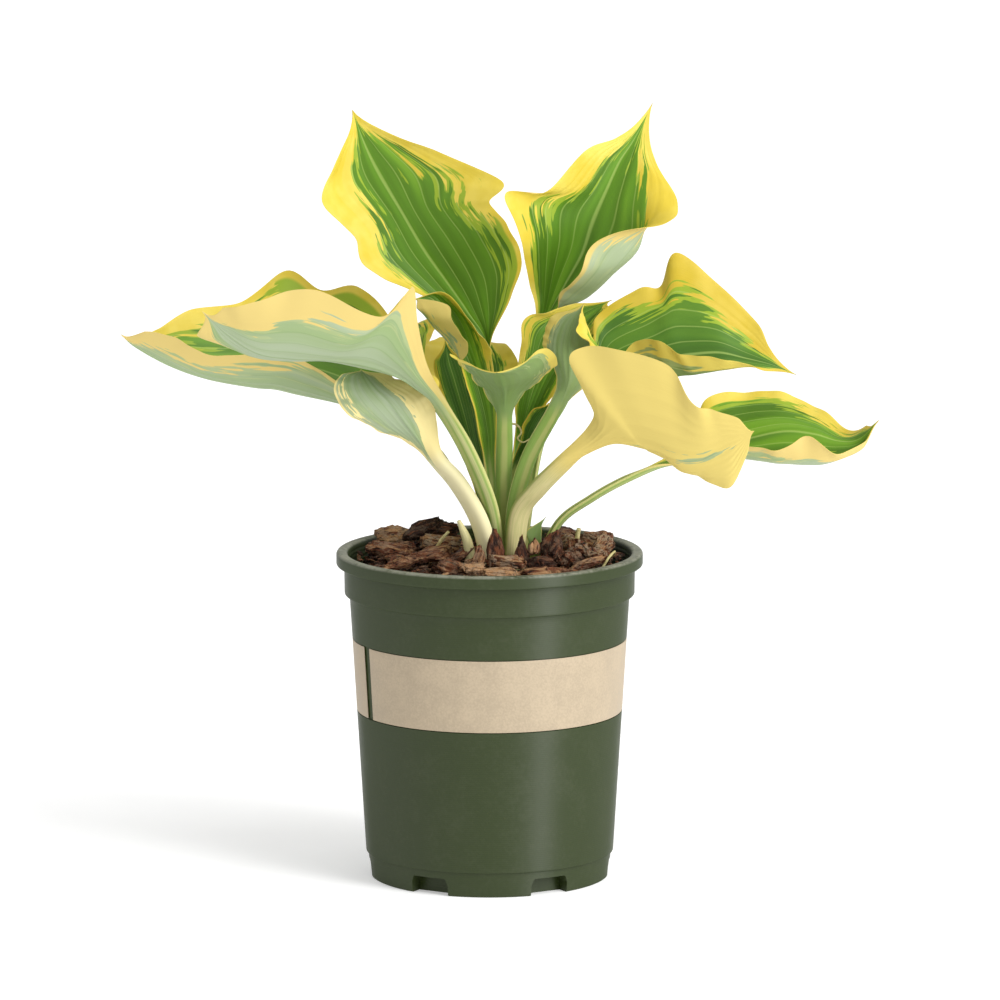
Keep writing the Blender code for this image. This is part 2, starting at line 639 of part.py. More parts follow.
def build_shoot(finish):
    """The young rolled shoot beside the stalks: a tapered rod."""
    rings = len(SHOOT_RADII)
    path = smooth_curve(SHOOT_PATH, np.linspace(0, len(SHOOT_PATH) - 1, rings))
    sides = SHOOT_SIDES
    vertices = []
    for point, radius in zip(path, SHOOT_RADII):
        for k in range(sides):
            angle = 2.0 * math.pi * k / sides
            vertices.append(point + (radius * math.cos(angle), radius * math.sin(angle), 0.0))
    faces = [tuple(range(sides)), tuple(range((rings - 1) * sides, rings * sides))]
    for row in range(rings - 1):
        for k in range(sides):
            n = (k + 1) % sides
            low = row * sides
            faces.append((low + k, low + n, low + sides + n, low + sides + k))
    return add_object("young_shoot", vertices, faces, finish)


def build_chip(name, centre, size, turn, tilt, roll, finish, chance):
    """One bark chip: a ragged slab with a belt of points round its edge."""
    length, width, thickness = size
    vertices = []
    for layer, reach in ((-0.5, 0.84), (0.05, 1.0), (0.5, 0.80)):
        for k in range(CHIP_SIDES):
            angle = 2.0 * math.pi * (k + 0.5) / CHIP_SIDES
            jag = reach * chance.uniform(0.84, 1.0)
            vertices.append((
                0.5 * length * jag * math.cos(angle),
                0.5 * width * jag * math.sin(angle),
                thickness * layer * chance.uniform(0.78, 1.0),
            ))
    turned = np.array(vertices)
    for axis, degrees in ((0, roll), (1, tilt), (2, turn)):
        c, s = math.cos(math.radians(degrees)), math.sin(math.radians(degrees))
        i, j = ((1, 2), (2, 0), (0, 1))[axis]
        first = turned[:, i] * c - turned[:, j] * s
        turned[:, j] = turned[:, i] * s + turned[:, j] * c
        turned[:, i] = first
    turned += centre
    faces = [tuple(range(CHIP_SIDES)), tuple(range(2 * CHIP_SIDES, 3 * CHIP_SIDES))]
    for row in range(2):
        for k in range(CHIP_SIDES):
            n = (k + 1) % CHIP_SIDES
            low = row * CHIP_SIDES
            faces.append((low + k, low + n, low + CHIP_SIDES + n, low + CHIP_SIDES + k))
    return add_object(name, turned, faces, finish)


def ring_chips(ring, centre):
    """Placements of flat chips laid end to end round a centre."""
    placed = []
    for k in range(ring["count"]):
        angle = 2.0 * math.pi * k / ring["count"]
        x = centre[0] + ring["radius"] * math.sin(angle)
        y = centre[1] - ring["radius"] * math.cos(angle)
        placed.append(((x, y, ring["z"]), ring["size"], math.degrees(angle), 0, 0))
    return placed


def build_bark(finish):
    """The bark mulch: two rings of flat chips with a heap of tilted chips on them."""
    chance = random.Random(CHIP_SEED)
    chips = ring_chips(OUTER_RING, (0.0, 0.0))
    chips += ring_chips(INNER_RING, (CROWN_X - 4.0, CROWN_Y))
    chips += BARK_HEAP
    for number, (centre, size, turn, tilt, roll) in enumerate(chips, start=1):
        build_chip(f"bark_chip_{number:02d}", centre, size, turn, tilt, roll, finish, chance)


def main():
    """Builds the whole plant."""
    clear_scene()
    pot_green = material("pot_green_plastic", (0.075, 0.105, 0.055), 0.38)
    label_tan = material("label_tan_paper", (0.64, 0.52, 0.36), 0.60)
    soil_brown = material("soil_brown", (0.045, 0.028, 0.018), 0.95)
    crown_cream = material("crown_cream", (0.55, 0.50, 0.28), 0.60)
    leaf_green = material("leaf_variegated", (0.30, 0.45, 0.12), 0.42)
    bark_brown = material("bark_brown", (0.22, 0.12, 0.07), 0.85)
    build_pot(pot_green)
    build_label(label_tan)
    build_soil(soil_brown)
    build_crown(crown_cream)
    for name, leaf in LEAVES.items():
        build_leaf(name, leaf, leaf_green)
    build_leaf("torn_sheath", SHEATH, leaf_green, rows=7, columns=5)
    build_shoot(leaf_green)
    build_bark(bark_brown)


main()
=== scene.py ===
"""Potted hosta: the fine surfaces of a variegated hosta in a nursery pot.

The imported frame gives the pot's axis and sizes.  Each leaf, the pot, its label, the soil, the
crown and the bark are surfaces worked out on grids, and each stands for its solid of the frame.
"""

import math

import bpy
import numpy as np
from bpy.props import FloatProperty, FloatVectorProperty, IntProperty, PointerProperty
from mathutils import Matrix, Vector


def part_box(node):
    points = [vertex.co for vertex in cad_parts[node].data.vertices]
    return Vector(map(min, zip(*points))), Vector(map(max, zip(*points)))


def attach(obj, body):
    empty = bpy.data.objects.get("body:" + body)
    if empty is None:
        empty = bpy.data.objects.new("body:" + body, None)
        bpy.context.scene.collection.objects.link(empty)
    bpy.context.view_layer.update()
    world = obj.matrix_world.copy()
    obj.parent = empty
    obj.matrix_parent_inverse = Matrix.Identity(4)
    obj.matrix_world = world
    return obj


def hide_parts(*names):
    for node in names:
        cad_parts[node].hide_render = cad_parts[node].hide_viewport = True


bl_info = {
    "name": "Potted Hosta",
    "version": (1, 0, 0),
    "blender": (4, 5, 0),
    "location": "View3D > Sidebar > Hosta",
    "description": "Builds a potted variegated hosta with its pot, label and bark mulch",
    "category": "Add Mesh",
}

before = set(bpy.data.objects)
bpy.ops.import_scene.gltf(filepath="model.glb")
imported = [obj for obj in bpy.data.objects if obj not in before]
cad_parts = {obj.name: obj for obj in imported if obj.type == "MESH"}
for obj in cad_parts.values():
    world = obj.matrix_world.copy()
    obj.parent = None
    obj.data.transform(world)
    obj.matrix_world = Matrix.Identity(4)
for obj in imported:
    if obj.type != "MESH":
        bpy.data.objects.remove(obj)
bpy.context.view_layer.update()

MM = 0.001
POT_LOW, POT_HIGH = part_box("pot")
POT_AXIS = ((POT_LOW[0] + POT_HIGH[0]) / 2.0, (POT_LOW[1] + POT_HIGH[1]) / 2.0)
CROWN_LOW, CROWN_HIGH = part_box("crown")
CROWN_AXIS = ((CROWN_LOW[0] + CROWN_HIGH[0]) / 2.0, (CROWN_LOW[1] + CROWN_HIGH[1]) / 2.0)
BODY = "root"


# Leaf shapes, in millimetres from the pot's axis and the floor.  Each stalk point is where the
# keel of the stalk passes.  Each blade row runs from the left margin over the midrib to the
# right margin, seen from the upper side with the tip up; a row of five also says where each
# half of the blade bends.
LEAVES = {
    "leaf_back_left": {
        "face": (0, -1, 0.2), "stalk_width": 5.5,
        "stalk": [(5, 15, 170), (3, 19, 202), (0, 22, 239), (-2, 25, 268)],
        "blade": [
            [(-7, 22, 286), (-2, 27, 287), (1, 22, 289)],
            [(-28, 24, 307), (-12, 30, 303), (12, 20, 313)],
            [(-49, 24, 318), (-22, 33, 317), (17, 14, 332)],
            [(-69, 24, 330), (-35, 36, 335), (10, 12, 352)],
            [(-73, 28, 344), (-47, 39, 355), (0, 18, 363)],
            [(-91, 26, 363), (-59, 42, 375), (6, 16, 375)],
            [(-83, 34, 382), (-67, 44, 391), (-32, 34, 391)],
        ],
        "tip": (-74, 46, 410),
    },
    "leaf_back_right": {
        "face": (0, -1, 0.2), "stalk_width": 5.5,
        "stalk": [(13, 15, 170), (15, 20, 201), (18, 26, 238), (24, 30, 270)],
        "blade": [
            [(25, 28, 302), (31, 33, 298), (36, 27, 303)],
            [(20, 24, 327), (30, 31, 323), (41, 36, 317), (53, 24, 312), (38, 15, 313)],
            [(15, 16, 348), (31, 29, 342), (50, 38, 333), (67, 16, 326), (47, 0, 326)],
            [(9, 14, 369), (31, 29, 361), (56, 39, 351), (80, 16, 339), (58, -2, 345)],
            [(30, 24, 369), (46, 34, 369), (63, 41, 367), (84, 26, 357), (94, 8, 353)],
            [(51, 34, 389), (60, 40, 386), (70, 44, 382), (86, 36, 375), (101, 24, 363)],
            [(70, 44, 396), (78, 47, 394), (89, 42, 384)],
        ],
        "tip": (88, 52, 413),
    },
    "leaf_left_long": {
        "face": (0.4, 0.3, 1), "stalk_width": 6.0,
        "stalk": [(-4, 7, 171), (-7.5, 9, 192), (-17, 19, 210), (-30, 25, 229)],
        "blade": [
            [(-57, 20, 250), (-56, 30, 244), (-52, 38, 250)],
            [(-79, 14, 266), (-78, 32, 253), (-52, 52, 291)],
            [(-101, 4, 280), (-102, 30, 259), (-71, 58, 312)],
            [(-115, 0, 283), (-114, 27, 262), (-91, 58, 310)],
            [(-128, -4, 285), (-126, 25, 264), (-110, 58, 321)],
            [(-152, -10, 286), (-150, 17, 269), (-135, 48, 305)],
            [(-170, -10, 295), (-172, 8, 277), (-162, 32, 303)],
            [(-184, -8, 298), (-188, 1, 286), (-179, 14, 295)],
        ],
        "tip": (-197, -4, 295),
    },
    "leaf_left_front": {
        "face": (0.7, 0.5, 0.5), "stalk_width": 11.0,
        "stalk": [(2, -12, 171), (-1, -19, 203), (-13, -26, 235), (-27, -32, 260)],
        "blade": [
            [(-33, -40, 284), (-40, -35, 272), (-27, -20, 273)],
            [(-38, -50, 309), (-52, -37, 279), (-37, -8, 278)],
            [(-41, -58, 329), (-67, -39, 284), (-56, 4, 284)],
            [(-57, -60, 312), (-86, -41, 287), (-78, 10, 286)],
            [(-92, -64, 328), (-105, -43, 288), (-102, 8, 289)],
            [(-122, -62, 322), (-123, -46, 291), (-131, -28, 292)],
            [(-141, -58, 317), (-138, -49, 301), (-155, -44, 301)],
        ],
        "tip": (-152, -53, 315),
    },
    "leaf_left_low": {
        "face": (0.6, 0.6, 0.5), "stalk_width": 12.5,
        "stalk": [(0, -22, 171), (-7, -20, 196), (-18.5, -18, 216), (-30.5, -19, 230)],
        "blade": [
            [(-28, -24, 250), (-38, -23, 241), (-47, -18, 240)],
            [(-30, -24, 262), (-46, -25, 252), (-64, -20, 248)],
            [(-35, -18, 267), (-54, -24, 262), (-78, -20, 257)],
            [(-46, -12, 270), (-61, -20, 268), (-83, -16, 267)],
            [(-55, -6, 274), (-66, -12, 273), (-79, -12, 275)],
        ],
        "tip": (-69, -4, 276),
    },
    "leaf_centre_arched": {
        "face": (0.1, -1, 0.2), "stalk_width": 6.0,
        "stalk": [(4, 5, 170), (2, 8, 203), (0, 10, 224)],
        "blade": [
            [(-6, 7, 240), (-1, 10, 240), (4, 6, 240)],
            [(-9, 5, 256), (-4, 10, 256), (4, 4, 257)],
            [(-15, 2, 275), (-10, 10, 276), (2, 2, 277)],
            [(-12, -11, 287), (-23, 1, 290), (-17, 9, 291), (-9, 7, 291), (-1, 0, 288)],
            [(-15, -13, 296), (-30, -1, 298), (-23, 8, 302), (-14, 7, 302), (-7, 0, 298)],
            [(-20, -11, 305), (-35, -2, 305), (-28, 7, 310), (-22, 6, 311), (-16, 1, 309)],
            [(-23, -7, 312), (-39, -1, 309), (-33, 6, 314), (-29, 5, 316), (-26, 3, 317)],
        ],
        "tip": (-40, 4, 313),
    },
    "leaf_centre_left": {
        "face": (0.1, -1, 0.2), "stalk_width": 4.5,
        "stalk": [(-3, 14, 171), (-3, 15, 190)],
        "blade": [
            [(-8, 12, 208), (-4, 17, 208), (0.5, 13.5, 208)],
            [(-13, 12, 222), (-7, 17, 222), (-1.5, 14, 222)],
            [(-18, 12, 238), (-11, 17.5, 238), (-4.5, 14, 238)],
            [(-24, 12, 253), (-15, 18, 253), (-6, 15, 251)],
            [(-29, 13, 268), (-19, 19, 267), (-9, 16, 265)],
            [(-30, 15, 278), (-22, 20, 277), (-12, 17, 276)],
        ],
        "tip": (-24, 20, 289),
    },
    "leaf_front_cupped": {
        "face": (0, 1, 0.1), "stalk_width": 8.0,
        "stalk": [(8, -5.5, 171), (7.5, -9, 208), (8, -17, 236), (8, -27, 254)],
        "blade": [
            [(16, -26, 263), (8, -32, 263), (-1, -26, 264)],
            [(25, -30, 273), (8, -40, 271), (-7, -28, 273)],
            [(36, -38, 283), (7, -50, 276), (-14, -34, 283)],
            [(31, -50, 294), (6, -59, 280), (-21, -46, 291)],
            [(17, -63, 288), (5, -66, 283), (-8, -62, 286)],
        ],
        "tip": (4, -71, 285),
    },
    "leaf_centre_tall": {
        "face": (0, -1, 0.2), "stalk_width": 5.0,
        "stalk": [(10, 8, 170), (11, 12, 203), (15, 16, 226)],
        "blade": [
            [(14, 11, 243), (18, 19, 242), (26, 12, 247)],
            [(15, 12, 262), (23, 21, 260), (38, 14, 265)],
            [(16, 11, 281), (29, 22, 276), (50, 16, 281)],
            [(18, 11, 300), (35, 21, 289), (59, 20, 292)],
            [(30, 15, 305), (43, 24, 298), (64, 24, 300)],
            [(47, 23, 308), (54, 27, 304), (65, 27, 305)],
        ],
        "tip": (66, 29, 309),
    },
    "leaf_centre_right": {
        "face": (-0.4, 1, 0.2), "stalk_width": 8.0,
        "stalk": [(14, -14, 171), (13, -16, 193), (15.5, -17.5, 212), (22.5, -19, 233),
                  (36, -21, 258)],
        "blade": [
            [(52, -14, 271), (42, -22, 271), (36, -13, 272)],
            [(54, -26, 290), (58, -14, 283), (43, -20, 283), (35, -16, 285), (30, -8, 287)],
            [(47, -26, 301), (54, -16, 296), (43, -15, 294), (35, -10, 295), (29, -3, 297)],
            [(49, -16, 308), (51, -11, 305), (45, -9, 303), (40, -5, 304), (36, 0, 306)],
        ],
        "tip": (51, -3, 312),
    },
    "leaf_right_back": {
        "face": (-0.5, -0.1, 1), "stalk_width": 5.0,
        "stalk": [(17, 1, 171), (16, -1, 200), (22, -4, 229), (33, -7, 249), (45, -6, 265)],
        "blade": [
            [(55, 8, 285), (60, -2, 272), (64, -10, 276)],
            [(58, 18, 302), (66, 10, 289), (76, -2, 279), (81, -12, 276), (76, -20, 292)],
            [(80, 24, 316), (85, 13, 298), (93, -2, 282), (96, -14, 274), (89, -26, 296)],
            [(92, 25, 317), (94, 13, 303), (101, -2, 283), (104, -14.5, 274.5), (96, -26, 292)],
            [(100, 26, 335), (102, 13, 306), (108, -2, 284), (111, -15, 275), (103, -26, 287)],
            [(119, 20, 323), (121, 9, 303), (123, -3, 285), (124, -14, 277), (119, -22, 286)],
            [(143, 10, 300), (140, 4, 291), (137, -4, 282), (138, -10, 278), (135, -15, 281)],
            [(151, 0, 286), (151, -6, 279), (148, -9, 276)],
        ],
        "tip": (164, -8, 274),
    },
    "leaf_right_front": {
        "face": (-0.4, 0.8, 0.6), "stalk_width": 11.0,
        "stalk": [(14, -22, 171), (17, -24, 200), (26, -29, 214), (39, -35, 228)],
        "blade": [
            [(56, -28, 243), (55, -42, 239), (51, -43, 250)],
            [(73, -28, 246), (66, -47, 244), (54, -52, 264)],
            [(89, -26, 246), (78, -51, 243), (42, -61, 289)],
            [(93, -28, 243), (82, -52, 242), (50, -64, 297)],
            [(98, -32, 239), (89, -54, 240), (67, -68, 297)],
            [(103, -44, 230), (100, -57, 236), (93, -72, 289)],
            [(115, -52, 224), (113, -60, 237), (107, -72, 269)],
            [(128, -57, 221), (125, -63, 243), (119, -71, 264)],
            [(137, -62, 241), (133, -65, 248), (132, -69, 260)],
        ],
        "tip": (140, -67, 253),
    },
    "leaf_right_low": {
        "face": (-0.3, 0, 1), "stalk_width": 6.0,
        "stalk": [(27, 6, 170), (38, 10, 191), (55, 14, 203), (72, 18, 212), (90, 21, 219)],
        "blade": [
            [(108, 32, 232), (107, 24, 223), (109, 16, 222)],
            [(117, 44, 252), (120, 35, 240), (123, 26, 230), (125, 14, 225), (124, 2, 233)],
            [(139, 50, 256), (140, 38, 246), (140, 26, 234), (141, 10, 225), (139, -4, 234)],
            [(161, 48, 255), (160, 36, 247), (159, 24, 238), (159, 6, 224), (157, -9, 235)],
            [(178, 40, 248), (176, 30, 243), (175, 20, 237), (176, 4, 223), (172, -10, 241)],
            [(193, 24, 239), (191, 20, 236), (188, 15, 234), (189, 5, 226), (187, -4, 231)],
            [(203, 14, 243), (201, 13, 240), (199, 11, 236), (201, 7, 232), (202, 3, 236)],
        ],
        "tip": (209, 6, 247),
    },
    "leaf_back_low": {
        "face": (0, -0.6, 0.8), "stalk_width": 5.5,
        "stalk": [(7, 22, 170), (8, 29, 200), (6, 37, 226), (1, 44, 243)],
        "blade": [
            [(-18, 44, 257), (-4, 50, 255), (7, 44, 258)],
            [(-33, 48, 267), (-8, 56, 266), (15, 48, 267)],
            [(-35, 56, 280), (-10, 62, 275), (13, 56, 276)],
            [(-27, 68, 282), (-12, 70, 280), (5, 68, 280)],
        ],
        "tip": (-12, 86, 276),
    },
    "leaf_centre_young": {
        "face": (0, -1, 0.2), "stalk_width": 4.0,
        "stalk": [(10, 0, 171), (9, 2, 202), (14, 4, 223)],
        "blade": [
            [(17, -1, 238), (20, 4, 234), (25, 0, 238)],
            [(18, 0, 246), (24, 6, 243), (30, 2, 246)],
            [(24, 3, 254), (28, 8, 250), (33, 4, 252)],
        ],
        "tip": (32, 9, 256),
    },
    "leaf_rear_left": {
        "face": (0.1, -0.5, 1), "stalk_width": 5.5,
        "stalk": [(-2, 22, 170), (-2, 32, 196), (-13, 46, 223), (-27, 57, 245), (-38, 62, 258)],
        "blade": [
            [(-52, 66, 272), (-44, 73, 270), (-33, 74, 277)],
            [(-70, 74, 284), (-52, 86, 279), (-30, 84, 290)],
            [(-80, 88, 286), (-60, 100, 278), (-38, 96, 288)],
            [(-76, 100, 276), (-65, 107, 269), (-53, 102, 276)],
        ],
        "tip": (-72, 114, 256),
    },
    "leaf_rear_right": {
        "face": (-0.2, -0.5, 1), "stalk_width": 5.5,
        "stalk": [(17, 21, 170), (21, 30, 200), (27, 40, 230), (37, 48, 246), (46, 55, 260)],
        "blade": [
            [(52, 65, 272), (58, 62, 270), (65, 55, 274)],
            [(62, 80, 287), (78, 78, 280), (92, 62, 288)],
            [(70, 94, 286), (86, 92, 277), (101, 77, 286)],
            [(82, 104, 274), (92, 102, 267), (102, 92, 274)],
        ],
        "tip": (100, 110, 256),
    },
}

# How each leaf is coloured: the share of each half that the yellow margin takes at the "base"
# and at the "tip"; a "lean" below nought widens it on the left margin's half and narrows it on
# the other; "cream" makes the stalk pale and widens the margin at the blade's base; "deep" is
# painted shade for a leaf that lies in shade: it dulls the underside and the stalk's pale band up
# to a half, and darkens the upper side from there to one; "seed" picks the run of the streaks.
LEAF_LOOKS = {
    "leaf_back_left": {"base": 0.15, "tip": 0.60, "lean": -0.26, "seed": 1},
    "leaf_back_right": {"base": 0.05, "tip": 0.60, "lean": -0.17, "seed": 2},
    "leaf_left_long": {"base": 0.04, "tip": 0.34, "lean": -0.08, "seed": 3},
    "leaf_left_front": {"base": 0.14, "tip": 0.46, "lean": -0.08, "cream": 0.40, "seed": 4},
    "leaf_left_low": {"base": 0.50, "tip": 0.46, "lean": -0.50, "cream": 1.0, "seed": 5},
    "leaf_centre_arched": {"base": 0.14, "tip": 0.34, "deep": 0.22, "seed": 6},
    "leaf_centre_left": {"base": 0.04, "tip": 0.16, "deep": 0.85, "seed": 7},
    "leaf_front_cupped": {"base": 0.03, "tip": 0.18, "deep": 0.42, "seed": 8},
    "leaf_centre_tall": {"base": 0.12, "tip": 0.28, "seed": 9},
    "leaf_centre_right": {"base": 0.12, "tip": 0.42, "deep": 0.30, "seed": 10},
    "leaf_right_back": {"base": 0.12, "tip": 0.50, "deep": 0.8, "seed": 11},
    "leaf_right_front": {"base": 1.05, "tip": 0.98, "cream": 0.9, "deep": 0.22, "seed": 12},
    "leaf_right_low": {"base": 0.16, "tip": 0.42, "cream": 0.36, "seed": 13},
    "leaf_back_low": {"base": 0.30, "tip": 0.56, "seed": 14},
    "leaf_centre_young": {"base": 0.05, "tip": 0.16, "deep": 0.9, "seed": 15},
    "leaf_rear_left": {"base": 0.18, "tip": 0.46, "seed": 16},
    "leaf_rear_right": {"base": 0.18, "tip": 0.46, "seed": 17},
    "torn_sheath": {"base": 0.0, "tip": 0.0, "deep": 0.9, "seed": 18},
}
CHANNEL_DEPTH = 0.30            # stalk channel, as a share of the stalk's width
TIP_TAPER = 0.7                 # power that narrows a leaf's tip
LEAF_GRID = (130, 99)           # rows along a leaf and columns over one side of it
SHEATH_GRID = (40, 41)
SHEATH_SEED = 40
LEAF_CREASE = 60.0              # sharpest bend that is still shaded smooth, in degrees
MARGIN_WAVES = (3.0, 5.0)       # fewest and most waves along a margin
MARGIN_RIPPLES = 11.0           # finer waves on them
SOFT_UNEVENNESS = 1.4           # gentle bumps of the whole blade, in millimetres
SHEATH = {
    "face": (-0.6, 0.8, 0), "stalk_width": 7.0,
    "stalk": [(25, -15, 170), (26, -16, 180)],
    "blade": [[(28, -14, 190), (24, -17, 190), (20, -18, 191)]],
    "tip": (30, -16, 198),
}
SHOOT_PATH = [(-9.5, -18, 166), (-11.5, -20, 184), (-16.5, -21, 197)]
SHOOT_RADII = (2.9, 1.0)
SHOOT_CREAM = 0.9
SHOOT_STEPS = 40
SHOOT_SIDES = 28

# Bark heaped on the mulch: centre, size (length, width, thickness) in millimetres, turn, tilt
# and roll in degrees, and how pale and how weathered it is.
BARK_HEAP = [
    ((-51, 36, 179.5), (22, 15, 5), 20, 0, 38, 0.30, 0.6),
    ((-53, 8, 176.0), (27, 17, 7), -12, 4, 8, 0.05, 0.4),
    ((-28, 50, 179.5), (27, 14, 6), 10, 2, 30, -0.15, 0.1),
    ((-28, 26, 177.0), (24, 12, 6), -20, 8, 14, 0.30, 0.9),
    ((-32, -12, 176.5), (27, 17, 7), 18, -6, 8, 0.10, 0.2),
    ((-7, -35, 177.0), (12, 9, 6), 40, 0, 10, 0.20, 0.5),
    ((-9, -50, 175.5), (14, 12, 6), 15, 4, 6, 0.35, 0.5),
    ((9, -38, 177.5), (22, 11, 7), -8, 3, 8, 0.15, 0.8),
    ((7, -58, 175.0), (21, 12, 5), 6, 0, 6, 0.40, 0.6),
    ((28, -40, 177.0), (16, 13, 6), 35, 8, 10, -0.20, 0.1),
    ((28, -59, 175.0), (22, 10, 5), 8, 0, 6, 0.25, 0.0),
    ((43, -22, 177.0), (18, 14, 8), 60, 8, 12, -0.10, 0.5),
    ((46, 3, 178.0), (17, 15, 11), 30, 6, 0, 0.10, 1.0),
    ((59, -12, 176.0), (20, 13, 7), 80, 6, 6, 0.05, 0.9),
    ((58, 26, 178.0), (20, 14, 7), -35, 8, 16, 0.10, 0.7),
    ((40, 44, 177.0), (24, 14, 7), -50, 4, 12, 0.0, 0.3),
]
# Splinters, as above: their long way stands upright where the tilt is near -90 degrees.
SPLINTERS = [
    ((3, -34, 183), (24, 11, 5), 90, -82, 10, -0.05, 0.1),
    ((-6, -38, 180), (16, 8, 5), 60, -70, 0, 0.25, 0.4),
    ((17, -34, 182), (18, 8, 5), 100, -80, 20, -0.15, 0.1),
    ((24, -26, 184), (10, 7, 4), 70, -65, 0, 0.20, 0.3),
    ((33, -24, 183), (20, 13, 8), 30, -68, 20, -0.20, 0.2),
    ((-36, 34, 183), (24, 12, 6), 25, -22, 30, -0.25, 0.2),
    ((-16, -18, 178), (18, 10, 5), -30, -30, 20, 0.05, 0.3),
    ((-46, -34, 176), (24, 16, 5), 10, -14, -28, 0.10, 0.2),
    ((-18, -46, 176), (18, 12, 5), -30, 10, 18, 0.0, 0.3),
    ((52, -34, 176), (22, 13, 6), 30, -16, -20, 0.20, 0.4),
    ((62, 8, 180), (18, 12, 6), 60, -28, 20, 0.10, 0.8),
    ((38, -56, 175), (20, 10, 5), 24, 4, -22, 0.05, 0.2),
]
OUTER_RING = {"count": 13, "radius": 61.0, "size": (25.0, 15.0, 7.0), "z": 167.3}
INNER_RING = {"count": 8, "radius": 41.0, "size": (23.0, 13.0, 7.0), "z": 167.3}
INNER_RING_MIDDLE = (5.0, 1.0)
CHIP_GRID = (44, 84)            # rows from one face to the other and columns round the rim
SPLINTER_GRID = (30, 52)
SLAB_CUTS = 9                   # slanting planes that shave a chip's corners
TERRACES = 8.0                  # levels that a chip's face is stepped into
BARK_CREASE = 32.0
FINES_CREASE = 50.0
FINES_COUNT = 520
FINES_GRID = (4, 7)
FINES_REACH = 72.0
FINES_HEIGHTS = (169.0, 174.0)

# Dry bits on the mulch: the points of each path, and its radius at the start and at the end
LITTER_STEPS = 12               # rings between two points of a path
LITTER_SIDES = 14
LITTER = {
    "dry_stub_upright": ([(47, 2, 172), (47, 1, 182), (48, 0, 189)], 1.5, 1.2),
    "dry_stub_short": ([(-30, -4, 176), (-26, -8, 184), (-22, -10, 189)], 1.1, 0.8),
    "dry_root": ([(60, -28, 172), (64, -26, 178), (67, -20, 180), (66, -12, 176),
                  (60, -6, 173)], 0.7, 0.4),
    "dry_curl": ([(11, -4, 247), (15, -5, 246), (17, -4, 242), (15, -5, 239), (18, -6, 237),
                  (22, -5, 239)], 0.6, 0.35),
}

# The pot, in millimetres
POT_SEGMENTS = 192
POT_HEIGHT = 177.0
LIP_RADIUS = 82.5
LIP_HEIGHT = 7.0
COLLAR_RADIUS = 78.1
COLLAR_BOTTOM = 154.0
BODY_TOP_RADIUS = 75.4
BODY_BOTTOM_RADIUS = 66.8
BASE_BOTTOM_RADIUS = 64.4
BASE_HEIGHT = 13.5
WALL = 2.2
BASE_STEP = 1.2
FLOOR_TOP = 8.0
FLOOR_UNDERSIDE = 1.6
FOOT_INNER_RADIUS = 54.0
NOTCH_COUNT = 6
NOTCH_WIDTH = 22.0
NOTCH_HEIGHT = 9.5
NOTCH_INNER_RADIUS = 56.0
LABEL_BOTTOM = 91.0
LABEL_TOP = 130.0
LABEL_RECESS = 0.7
LABEL_THICKNESS = 0.3
LABEL_SEAM_ANGLE = math.radians(-63.0)
LABEL_SEAM_WIDTH = 6.0
GAP = 0.4
SOIL_TOP = 162.5
CROWN_RADIUS = 28.0
CROWN_TOP = 169.5
CROWN_BOTTOM = 140.0
POT_CREASE = 38.0
LABEL_CREASE = 40.0
LABEL_STEPS = 220               # sections along the label
SOIL_SEGMENTS = 160
SOIL_HEAP = 7.0                 # how far the crumbs rise and sink
CROWN_SEGMENTS = 96
CROWN_HEAP = 3.0
CROWN_SWELL = 0.10              # how far the lumps push the sides, as a share of the radius
RING_HEIGHT = 0.12              # fine rings inside the collar
RING_PITCH = 2.4
TURNING_LINE = 0.0011           # height of one turning line on the plastic, in metres

# Colours that the settings leave alone, as linear red, green and blue
# The second green is painted shade, for an upper side that lies in shade.
BRIGHT_GREEN, SHADED_GREEN = (0.24, 0.44, 0.035), (0.034, 0.105, 0.016)
RIB_GREEN = (0.46, 0.60, 0.16)
# The second yellow is painted shade, for a margin that lies in shade.
PALE_YELLOW, SHADED_YELLOW = (0.78, 0.62, 0.10), (0.50, 0.35, 0.022)
# The second underside colour is painted shade, for an underside that lies in shade.
UNDER_NECK, UNDER_SHADED = (0.21, 0.31, 0.105), (0.135, 0.215, 0.046)
UNDER_RIB, UNDER_LIME = (0.17, 0.27, 0.095), (0.56, 0.58, 0.27)
# The second colour is painted shade, for an underside margin that lies in shade.
UNDER_PALEST, UNDER_SHADED_CREAM = (0.90, 0.76, 0.34), (0.60, 0.50, 0.085)
STALK_KEEL, STALK_GREEN = (0.40, 0.43, 0.145), (0.21, 0.33, 0.070)
STALK_THREAD = (0.31, 0.42, 0.115)
STALK_EDGE, STALK_GREEN_EDGE = (0.62, 0.60, 0.24), (0.22, 0.30, 0.07)
STALK_CREAM, STALK_STRAW = (0.72, 0.64, 0.34), (0.58, 0.55, 0.26)
# The second colour is painted shade, for a pale stalk that lies in shade.
STALK_PALEST, STALK_SHADED = (0.84, 0.77, 0.46), (0.40, 0.36, 0.12)
POT_DUST = (0.32, 0.32, 0.26)
SOIL_DARK, SOIL_SPECK = (0.016, 0.010, 0.007), (0.095, 0.058, 0.034)
ROOT_DARK, ROOT_PALE = (0.09, 0.060, 0.030), (0.34, 0.30, 0.14)
BARK_RED, BARK_GREY = (0.20, 0.066, 0.028), (0.54, 0.40, 0.27)
STRAW_DARK, STRAW_PALE = (0.46, 0.37, 0.15), (0.72, 0.66, 0.32)
FLOOR_DULL, FLOOR_PALE = (0.89, 0.89, 0.89), (0.91, 0.91, 0.91)
WHITE = (1.0, 1.0, 1.0, 1.0)
FLOOR_GLOW = 0.34


# ---------------------------------------------------------------- settings

def swatch(name, description, default):
    """A colour setting, as linear red, green and blue."""
    return FloatVectorProperty(name=name, description=description, subtype="COLOR",
                               default=default, min=0.0, max=1.0)


